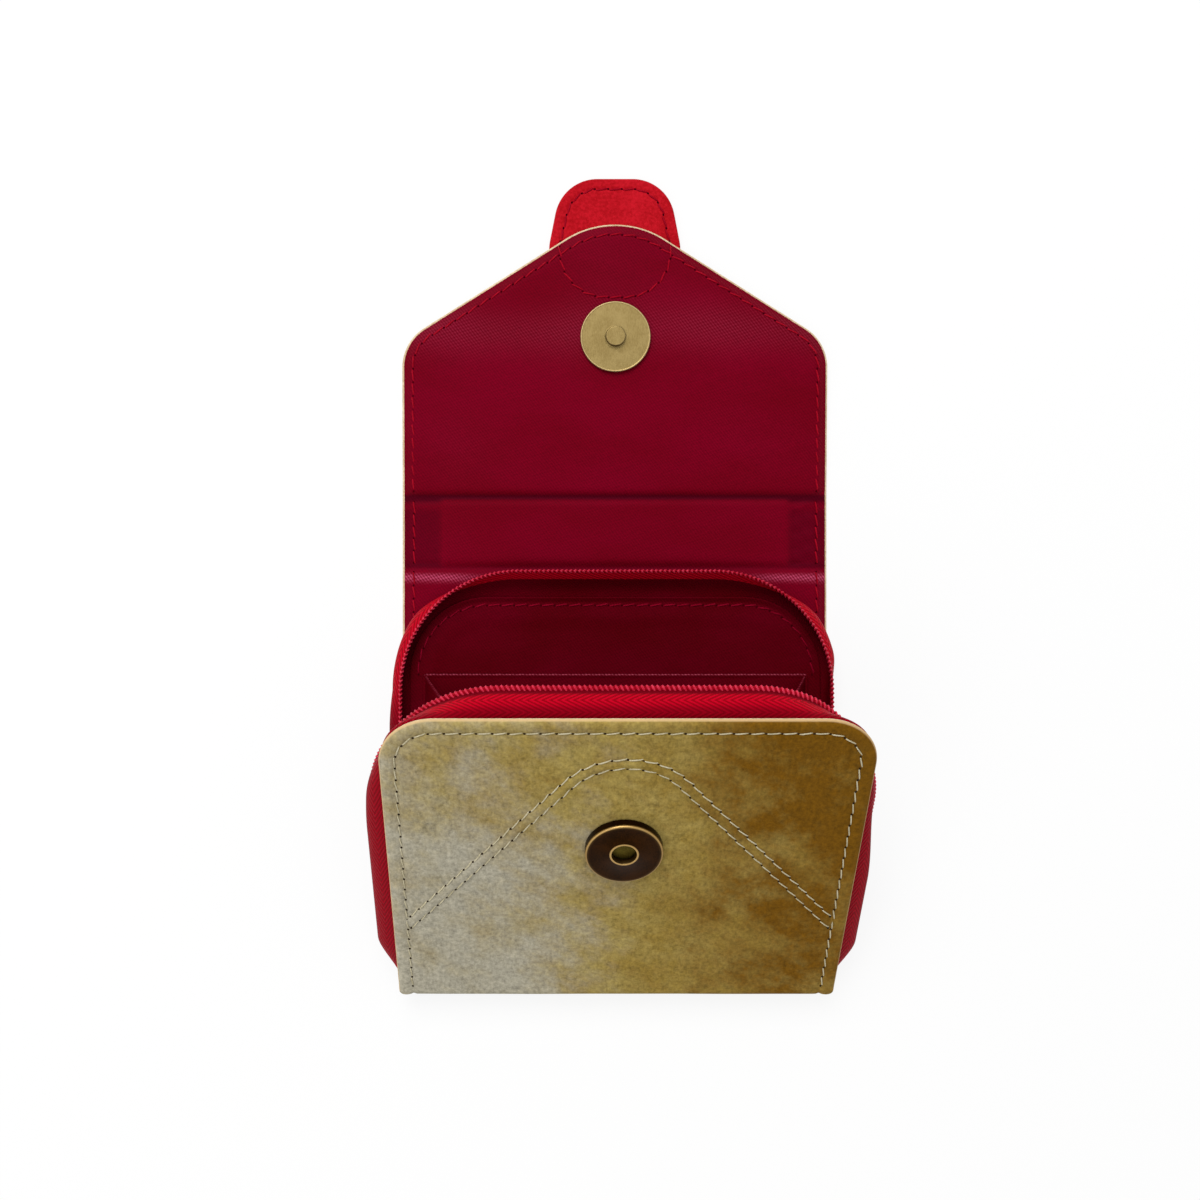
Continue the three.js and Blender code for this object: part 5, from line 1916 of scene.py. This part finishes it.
@dataclass
class CoinCompartment:
    """Lined compartment of the back panel: its wall, a flat pocket and the bellows at its sides."""

    finishes: Finishes
    stitching: Stitching
    wall_half: float = 52.8
    wall_top: float = 38.4
    wall_foot: float = -44.8
    wall_corner: float = 20.0
    wall_thickness: float = 0.4
    wall_level_above: float = 0.92
    wall_share: float = 0.97
    foot_corner: float = 1
    hem_width: float = 4.8
    hem_height: float = 0.35
    climb_height: float = 0.75
    swell_height: float = 0.22
    pocket_half: float = 49.5
    pocket_top: float = 18.6
    pocket_foot: float = -42.8
    pocket_thickness: float = 0.45
    pocket_level_above: float = 1.75
    gape: float = 0.9
    pocket_hem: float = 0.2
    stitch_inset: float = 2.2
    stitch_foot: float = 30 - 2 * HALF_BACK
    gusset_edge: float = 49.3
    gusset_foot: float = 20.0
    gusset_top: float = 62.0
    gusset_fold: tuple[float, float] = (2.0, 14.0)
    gusset_thickness: float = 0.4
    gusset_lift: float = 1.0
    gusset_bow: float = 0.9
    keep: float = 0.34

    def wall_level(self, flat: Flat) -> Array:
        """Shapes the face of the wall, which climbs over the sewn edge of the zip tape.

        Args:
            flat: Points of the wall.

        Returns:
            Levels of the face.
        """
        hem = self.hem_height * (1 - smoothstep(flat.rim, self.hem_width, self.hem_width + 4))
        climb = self.climb_height * (1 - smoothstep(flat.rim, 0, 1.6)) * smoothstep(flat.reach, -16, -9)
        swell = self.swell_height * soft_wave(flat.x, flat.reach, 8) * smoothstep(flat.rim, 4, 12)
        return self.wall_level_above + hem + climb + swell

    def pocket_level(self, flat: Flat) -> Array:
        """Shapes the face of the pocket, whose hem stands a little open.

        Args:
            flat: Points of the pocket.

        Returns:
            Levels of the face.
        """
        top = self.pocket_top - HALF_BACK
        gape = self.gape * smoothstep(flat.reach, top - 22, top) * bell(flat.x - 6, 30)
        hem = self.pocket_hem * bell(top - flat.reach - 0.4, 0.35)
        return self.pocket_level_above + gape + hem

    def pocket_painted_shading(self, flat: Flat) -> Array:
        """Returns a painted highlight along the hem of the pocket."""
        return 0.5 * bell(self.pocket_top - HALF_BACK - flat.reach, 0.28)

    def wall_outline(self, inset: float = 0.0, foot_inset: float = 0.0) -> Outline:
        """Returns the wall, or a line inside its edge."""
        top, foot = self.wall_top - inset - HALF_BACK, self.wall_foot + foot_inset - HALF_BACK
        return pocket_outline(self.wall_half - inset, foot, top, self.foot_corner, self.wall_corner - inset)

    def build(self) -> None:
        """Builds the wall, the pocket and both bellows."""
        dark = self.finishes.dark
        wall = Cloth(
            "compartment_wall_cloth", TOP_CREASE, self.wall_outline(), self.wall_level,
            self.wall_thickness, dark,
        ).build()
        seat(wall, Body.BACK, Slot.DARK, ["compartment_wall"])
        size = (2 * self.wall_half * MM, (self.wall_top - self.wall_foot) * MM)
        area = self.wall_share * size[0] * size[1]
        top, foot, corner = self.pocket_top - HALF_BACK, self.pocket_foot - HALF_BACK, self.foot_corner
        pocket = Cloth(
            "inner_pocket_cloth", TOP_CREASE, pocket_outline(self.pocket_half, foot, top, corner, corner),
            self.pocket_level, self.pocket_thickness, dark, self.pocket_painted_shading,
        ).build()
        seat(pocket, Body.BACK, Slot.DARK, ["inner_pocket"])
        size = (2 * self.pocket_half * MM, (self.pocket_top - self.pocket_foot) * MM)
        for name, side in (("left", -1), ("right", 1)):
            self.bellows(name, side)
        self.sew()

    def bellows_line(self, side: int) -> Array:
        """Draws one bellows, with a leaf on each side of its inner fold.

        Args:
            side: -1 for the left one, and 1 for the right one.

        Returns:
            Points by height, from the back panel over the fold to the front panel.
        """
        share, leaf = np.linspace(0, 1, 29), np.linspace(0, 1, 9)
        edge = np.full(share.shape, side * self.gusset_edge)
        y = self.pocket_foot + (self.pocket_top - self.pocket_foot) * share
        foot = np.full(share.shape, PANEL_THICKNESS + self.gusset_lift)
        on_back = np.stack([edge, y, foot], axis=-1)
        reach = self.gusset_foot + (self.gusset_top - self.gusset_foot) * share
        on_front = FRONT_CREASE.place(edge, reach, np.full(share.shape, self.gusset_lift))
        fold = (on_back + on_front) / 2
        fold_foot, fold_top = self.gusset_fold
        fold[:, 0] -= side * (fold_foot + (fold_top - fold_foot) * share)
        lower = on_back[:, None] + (fold - on_back)[:, None] * leaf[None, :, None]
        upper = fold[:, None] + (on_front - fold)[:, None] * leaf[None, 1:, None]
        line = np.concatenate([lower, upper], axis=1)
        bow = np.concatenate([np.sin(np.pi * leaf), np.sin(np.pi * leaf[1:])])
        line[:, :, 0] += side * self.gusset_bow * bow[None, :] * share[:, None]
        return line

    def bellows(self, name: str, side: int) -> None:
        """Builds one bellows, which rides on the back panel.

        Args:
            name: Side that the piece is named for.
            side: -1 for the left one, and 1 for the right one.
        """
        line = self.bellows_line(side)
        shift = np.array([-side * self.gusset_thickness, 0, 0])
        rings = np.concatenate([line, line[:, ::-1] + shift], axis=1)
        count, size = rings.shape[:2]
        wide = line.shape[1]
        reach = run_along(line)
        flat = np.stack([reach, np.repeat(line[:, :1, 1], wide, axis=1)], axis=-1)
        flat = np.concatenate([flat, flat[:, ::-1]], axis=1)
        faces = grid_faces(count, size, closed=True)
        for here in (0, (count - 1) * size):
            there = here + size - 1
            faces += [(here + i, here + i + 1, there - 1 - i, there - i) for i in range(wide - 1)]
        # Painted shade over the whole bellows, and a painted highlight along its top edge.
        gleam = 0.5 * smoothstep(np.linspace(0, 1, count), 0.96, 1) - 0.3
        parts = MeshParts(rings, faces, None, flat, {"painted_shading": np.repeat(gleam[:, None], size, axis=1)})
        piece = make_piece(f"{name}_bellows", parts, [self.finishes.dark])
        seat(piece, Body.BACK, Slot.DARK, [f"{name}_gusset"])
        anchor = (0, 0, (PANEL_THICKNESS + self.gusset_lift) * MM)
        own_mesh(piece)
        widest = float(reach[-1, -1])
        cut = (widest * MM, (self.pocket_top - self.pocket_foot) * MM)
        float(reach[:, -1].mean()) / widest * cut[0] * cut[1]

    def sew(self) -> None:
        """Sews the wall to the zip tape."""
        line = self.wall_outline(self.stitch_inset).loop()
        line = line[line[:, 1] > self.stitch_foot]
        flat = Flat(line[:, 0], line[:, 1], np.full(len(line), self.stitch_inset))
        row = surface_row(TOP_CREASE, line, self.wall_level(flat), 1)
        self.stitching.sew(Body.BACK, Thread.DARK, row)


@dataclass
class PullTab:
    """Red leather tab sewn to the outer face of the flap's tip."""

    finishes: Finishes
    stitching: Stitching
    lining: Lining
    half: float = 17.0
    top_half: float = 13.6
    taper_length: float = 17.0
    top_radius: float = 11.0
    shoulder_radius: float = 12.0
    foot_radius: float = 14.5
    edge_radius: float = 0.55
    stitch_inset: float = 2.7
    groove_depth: float = 0.18
    groove_width: float = 0.45
    thread_sink: float = 0.1

    def outline(self, inset: float) -> Outline:
        """Returns the tab, which tapers towards its free end."""
        corners = [
            (0, TAB_FOOT + inset, 0), (self.half - inset, TAB_FOOT + inset, self.foot_radius - inset),
            (self.half - inset, TAB_TOP - self.taper_length, self.shoulder_radius - inset),
            (self.top_half - inset, TAB_TOP - inset, self.top_radius - inset), (0, TAB_TOP - inset, 0),
        ]
        return Outline(rounded(corners)[1:-1], free_start=True, free_end=True)

    def face(self, flat: Flat, way: int) -> Array:
        """Shapes one face of the tab.

        Args:
            flat: Points of the tab.
            way: 1 for the face against the flap, and -1 for the outer face.

        Returns:
            Levels of the face.
        """
        middle = OUTER_LEVEL - PLY_GAP - TAB_THICKNESS / 2
        groove = self.groove_depth * bell(flat.rim - self.stitch_inset, self.groove_width)
        return round_edge(middle + way * (TAB_THICKNESS / 2 - groove), middle, flat.rim, self.edge_radius)

    def build(self) -> None:
        """Builds the tab and sews it on."""
        finishes = [self.finishes.tab] * 2
        faces = [partial(self.face, way=way) for way in (-1, 1)]
        tab = Slab("pull_tab_leather", FLAP_CREASE, self.outline(0), *faces, finishes, TAB_STEP).build()
        seat(tab, Body.FLAP, Slot.TAB, ["pull_tab"])
        loop = self.outline(self.stitch_inset).loop()
        top = OUTER_LEVEL - PLY_GAP
        foot_row = surface_row(FLAP_CREASE, loop, top - TAB_THICKNESS + self.thread_sink, -1)
        self.stitching.sew(Body.FLAP, Thread.RED, foot_row)
        self.sew_upper(loop, top - self.thread_sink)

    def sew_upper(self, loop: Array, tab_level: float) -> None:
        """Sews the seam where it shows from the lined side, on the tab and on the lining.

        Args:
            loop: The seam in flat coordinates.
            tab_level: Level of the seam on the tab.
        """
        skin = flap_outline(0, 0)
        inside = loop[:, 1] < np.interp(np.abs(loop[:, 0]), skin.side[::-1, 0], skin.side[::-1, 1])
        depth = skin.rim(loop[:, 0], loop[:, 1])
        shown = loop[~inside & (depth > 0.3)]
        sewn = loop[inside & (depth > LINING_INSET + 0.4)]
        foot = np.argmin(np.abs(sewn[:, 0]) + 100 * (sewn[:, 1] > sewn[:, 1].mean()))
        sewn = np.concatenate([sewn[foot:], sewn[:foot]])
        rim = skin.rim(sewn[:, 0], sewn[:, 1]) - LINING_INSET
        level = self.lining.upper_level(sewn[:, 0], sewn[:, 1] + FLAP_START, rim)
        order = np.argsort(np.arctan2(shown[:, 1] - TAB_FOOT, -shown[:, 0]))
        self.stitching.sew(Body.FLAP, Thread.RED, surface_row(FLAP_CREASE, shown[order], tab_level, 1))
        order = np.argsort(np.arctan2(TAB_TOP - sewn[:, 1], sewn[:, 0]))
        self.stitching.sew(Body.FLAP, Thread.RED, surface_row(FLAP_CREASE, sewn[order], level[order], 1))


def turned(
    name: str, crease: Crease, reach: float, profile: Profile, finish: Material,
    segments: int = 96,
) -> Piece:
    """Turns a round piece on a panel.

    Args:
        name: Name of the piece.
        crease: Crease whose flat coordinates it stands in.
        reach: Reach of its axis.
        profile: Closed profile of radius, level and wear.
        finish: Material of the piece.
        segments: Steps round the axis.

    Returns:
        The piece.
    """
    angles = full_turn(segments)[:, None]
    radius, level, wear = (np.array([column] * segments, float) for column in zip(*profile))
    rings = crease.place(np.cos(angles) * radius, reach + np.sin(angles) * radius, level)
    return rings_piece(name, rings, finish, {"wear": wear}, capped=False)


@dataclass
class MagneticSnap:
    """Magnetic snap: a disc and stud on the flap, and a cup with a throat on the front panel."""

    finishes: Finishes
    radius: float = 9.0
    stud: float = 2.5
    stud_gap: float = 0.08
    disc_foot: float = 0.2
    disc_face: float = 1.22
    disc_rim: float = 1.3
    stud_height: float = 1.4
    throat: float = 2.9
    cup_height: float = 2.3
    cup_gap: float = 0.25
    cup_wall: float = 0.5
    crown_wall: float = 0.55
    throat_wall: float = 0.4
    throat_depth: float = 0.75

    def disc_profile(self) -> Profile:
        """Returns the profile of the disc, with a low rim round its bare face."""
        r, foot, face, rim = self.radius, self.disc_foot, self.disc_face, self.disc_rim
        bore = self.stud + self.stud_gap
        return [
            (bore, foot, 0), (r - 0.1, foot, 0), (r, foot + 0.1, 0), (r, rim - 0.2, 0.3),
            (r - 0.08, rim - 0.07, 0.8), (r - 0.2, rim, 0.9), (r - 0.32, rim - 0.02, 0.5),
            (r - 0.42, face, 0), (r - 0.5, face, 0), (r - 0.6, face, 0),
            (bore + 0.4, face, 0), (bore + 0.25, face, 0), (bore + 0.15, face, 0), (bore, face - 0.1, 0),
        ]

    def stud_profile(self) -> Profile:
        """Returns the profile of the stud."""
        r, foot, face, top = self.stud, self.disc_foot, self.disc_face, self.disc_rim + self.stud_height
        return [
            (0.0, foot, 0), (r, foot, 0), (r, face + 0.01, 0), (r + 0.35, face + 0.02, 0),
            (r + 0.16, face + 0.08, 0), (r + 0.04, face + 0.2, 0), (r, face + 0.4, 0), (r, top - 0.2, 0),
            (r - 0.05, top - 0.06, 0.2), (r - 0.14, top, 0.2), (r - 0.22, top, 0),
            (0.8, top, 0), (0.0, top, 0),
        ]

    def cup_profile(self) -> Profile:
        """Returns the profile of the cup, whose rim and throat are worn bright."""
        r, throat, foot = self.radius, self.throat, OUTER_LEVEL - self.cup_gap
        crown = foot - self.cup_height
        bore_foot, ceiling = foot - self.throat_depth, crown + self.crown_wall
        return [
            (throat, bore_foot, 0), (throat, crown + 0.15, 0.3), (throat + 0.06, crown - 0.03, 1),
            (throat + 0.22, crown - 0.09, 1), (throat + 0.42, crown - 0.03, 0.8),
            (throat + 0.55, crown + 0.03, 0), (r - 1.0, crown, 0), (r - 0.5, crown, 0.05),
            (r - 0.28, crown + 0.04, 0.7), (r - 0.1, crown + 0.16, 1), (r, crown + 0.4, 0.6),
            (r, crown + 0.7, 0), (r, foot, 0), (r - self.cup_wall, foot, 0), (r - self.cup_wall, ceiling, 0),
            (throat + self.throat_wall, ceiling, 0), (throat + self.throat_wall, bore_foot, 0),
        ]

    def build(self) -> None:
        """Builds the round pieces and dresses the hidden ones."""
        brass, dark = self.finishes.brass, self.finishes.dark_brass
        flap, front = (FLAP_CREASE, FLAP_SNAP_REACH), (FRONT_CREASE, FRONT_SNAP_REACH)
        for name, spot, profile, finish, slot, replaced in (
            ("flap_snap_plate", flap, self.disc_profile(), brass, Slot.BRASS, "flap_snap_disc"),
            ("flap_snap_button", flap, self.stud_profile(), brass, Slot.BRASS, "flap_snap_stud"),
            ("front_snap_shell", front, self.cup_profile(), dark, Slot.DARK_BRASS, "front_snap_cup"),
        ):
            seat(turned(name, *spot, profile, finish), spot[0].after, slot, [replaced])
        dress_nodes(self.finishes.aged_brass, "front_snap_base")
        dress_nodes(self.finishes.magnet, "front_snap_magnet")
        dress_nodes(self.finishes.steel, "front_snap_washer", "flap_snap_washer")


@dataclass
class HiddenPieces:
    """Stiffening boards, slider and pull, which keep their solids."""

    finishes: Finishes
    bevel: float = 0.12
    bevel_segments: int = 2

    def build(self) -> None:
        """Dresses the solids."""
        boards = ("back_board", "top_spine_board", "flap_board", "bottom_spine_board", "front_board")
        dress_nodes(self.finishes.board, *boards)
        metal = ("zip_slider", "zip_pull")
        dress_nodes(self.finishes.brass, *metal)
        for node in metal:
            solid = frame["nodes"][node]
            solid.modifiers.new("weld", "WELD").merge_threshold = MERGE_DISTANCE
            bevel = solid.modifiers.new("soft_edges", "BEVEL")
            bevel.width = self.bevel * MM
            bevel.segments = self.bevel_segments
            bevel.limit_method = "ANGLE"


@dataclass
class Studio:
    """White table, soft light and a camera that looks straight down.

    The image sizes are in pixels, and the places and sizes of the lamps and the floor in metres.
    """

    image: float = 1200
    focal: float = 1346
    centre_x: float = 541
    sensor: float = 36
    clip: float = 0.01
    eye: Place = (-19.1, 37.6, 350.0)
    world: float = 0.55
    key_place: Place = (-0.18, 0.62, 0.85)
    key_size: float = 0.55
    key_power: float = 7.0
    fill_place: Place = (-0.5, -0.35, 0.7)
    fill_size: float = 0.7
    fill_power: float = 1.6
    floor_half: float = 3.0
    floor_level: float = -0.0002
    floor_colour: Colour = (0.9, 0.9, 0.9, 1)
    floor_glow: float = 0.85
    white: Colour = (1, 1, 1, 1)

    def build(self) -> None:
        """Builds the floor, the world, the lamps and the camera."""
        bpy.context.scene.view_settings.view_transform = "Standard"
        self.build_floor()
        self.build_world()
        self.lamp("key_lamp", self.key_place, self.key_size, self.key_power)
        self.lamp("fill_lamp", self.fill_place, self.fill_size, self.fill_power)
        self.build_camera()

    def build_camera(self) -> None:
        """Adds the camera of the photograph."""
        data = bpy.data.cameras.new("camera")
        data.sensor_width = self.sensor
        data.lens = self.sensor * self.focal / self.image
        data.shift_x = (self.image / 2 - self.centre_x) / self.image
        data.clip_start = self.clip
        camera = add_object("camera", data)
        camera.location = [value * MM for value in self.eye]
        bpy.context.scene.camera = camera

    def lamp(self, name: str, place: Place, size: float, power: float) -> None:
        """Adds a square lamp that points at the purse.

        Args:
            name: Name of the lamp.
            place: Where it hangs.
            size: Length of its side.
            power: Its power in watts.
        """
        data = bpy.data.lights.new(name, "AREA")
        data.size = size
        data.energy = power
        lamp = add_object(name, data)
        lamp.location = place
        aim = lamp.location - Vector(joint_point("top_spine_fold") * MM)
        lamp.rotation_euler = aim.to_track_quat("Z", "Y").to_euler()

    def build_floor(self) -> None:
        """Adds a pale floor that keeps the purse's shadow."""
        half, level = self.floor_half, self.floor_level
        mesh = bpy.data.meshes.new("floor")
        corners = [(-half, -half, level), (half, -half, level), (half, half, level), (-half, half, level)]
        mesh.from_pydata(corners, [], [(0, 1, 2, 3)])
        floor = add_object("floor", mesh)
        graph = Finish("white_table")
        share = self.floor_glow * graph.seen()
        matt = graph.node("ShaderNodeBsdfDiffuse", sockets={"Color": self.floor_colour})
        glow = graph.node("ShaderNodeEmission", sockets={"Color": self.white, "Strength": 1.0})
        both = graph.node("ShaderNodeMixShader", sockets={0: share, 1: matt, 2: glow})
        graph.node("ShaderNodeOutputMaterial", sockets={"Surface": both})
        mesh.materials.append(graph.material)

    def build_world(self) -> None:
        """Lights the scene from all round, with a white background."""
        world = bpy.data.worlds.new("studio")
        bpy.context.scene.world = world
        world.use_nodes = True
        graph = Graph(world.node_tree)
        strength = self.world + (1 - self.world) * graph.seen()
        light = graph.node("ShaderNodeBackground", sockets={"Color": self.white, "Strength": strength})
        graph.node("ShaderNodeOutputWorld", sockets={"Surface": light})


def main() -> None:
    """Builds the studio and all the pieces."""
    logging.basicConfig(level=logging.INFO, format="%(message)s")
    Studio().build()
    finishes = Finishes.build()
    beads = BeadRow()
    stitching = Stitching(finishes, beads)
    lining = Lining(finishes, stitching)
    LeatherCover(finishes, stitching).build()
    lining.build()
    for half in zip_halves(finishes, beads):
        half.build()
    CoinCompartment(finishes, stitching).build()
    PullTab(finishes, stitching, lining).build()
    MagneticSnap(finishes).build()
    HiddenPieces(finishes).build()
    stitching.build()


if __name__ == "__main__":
    main()
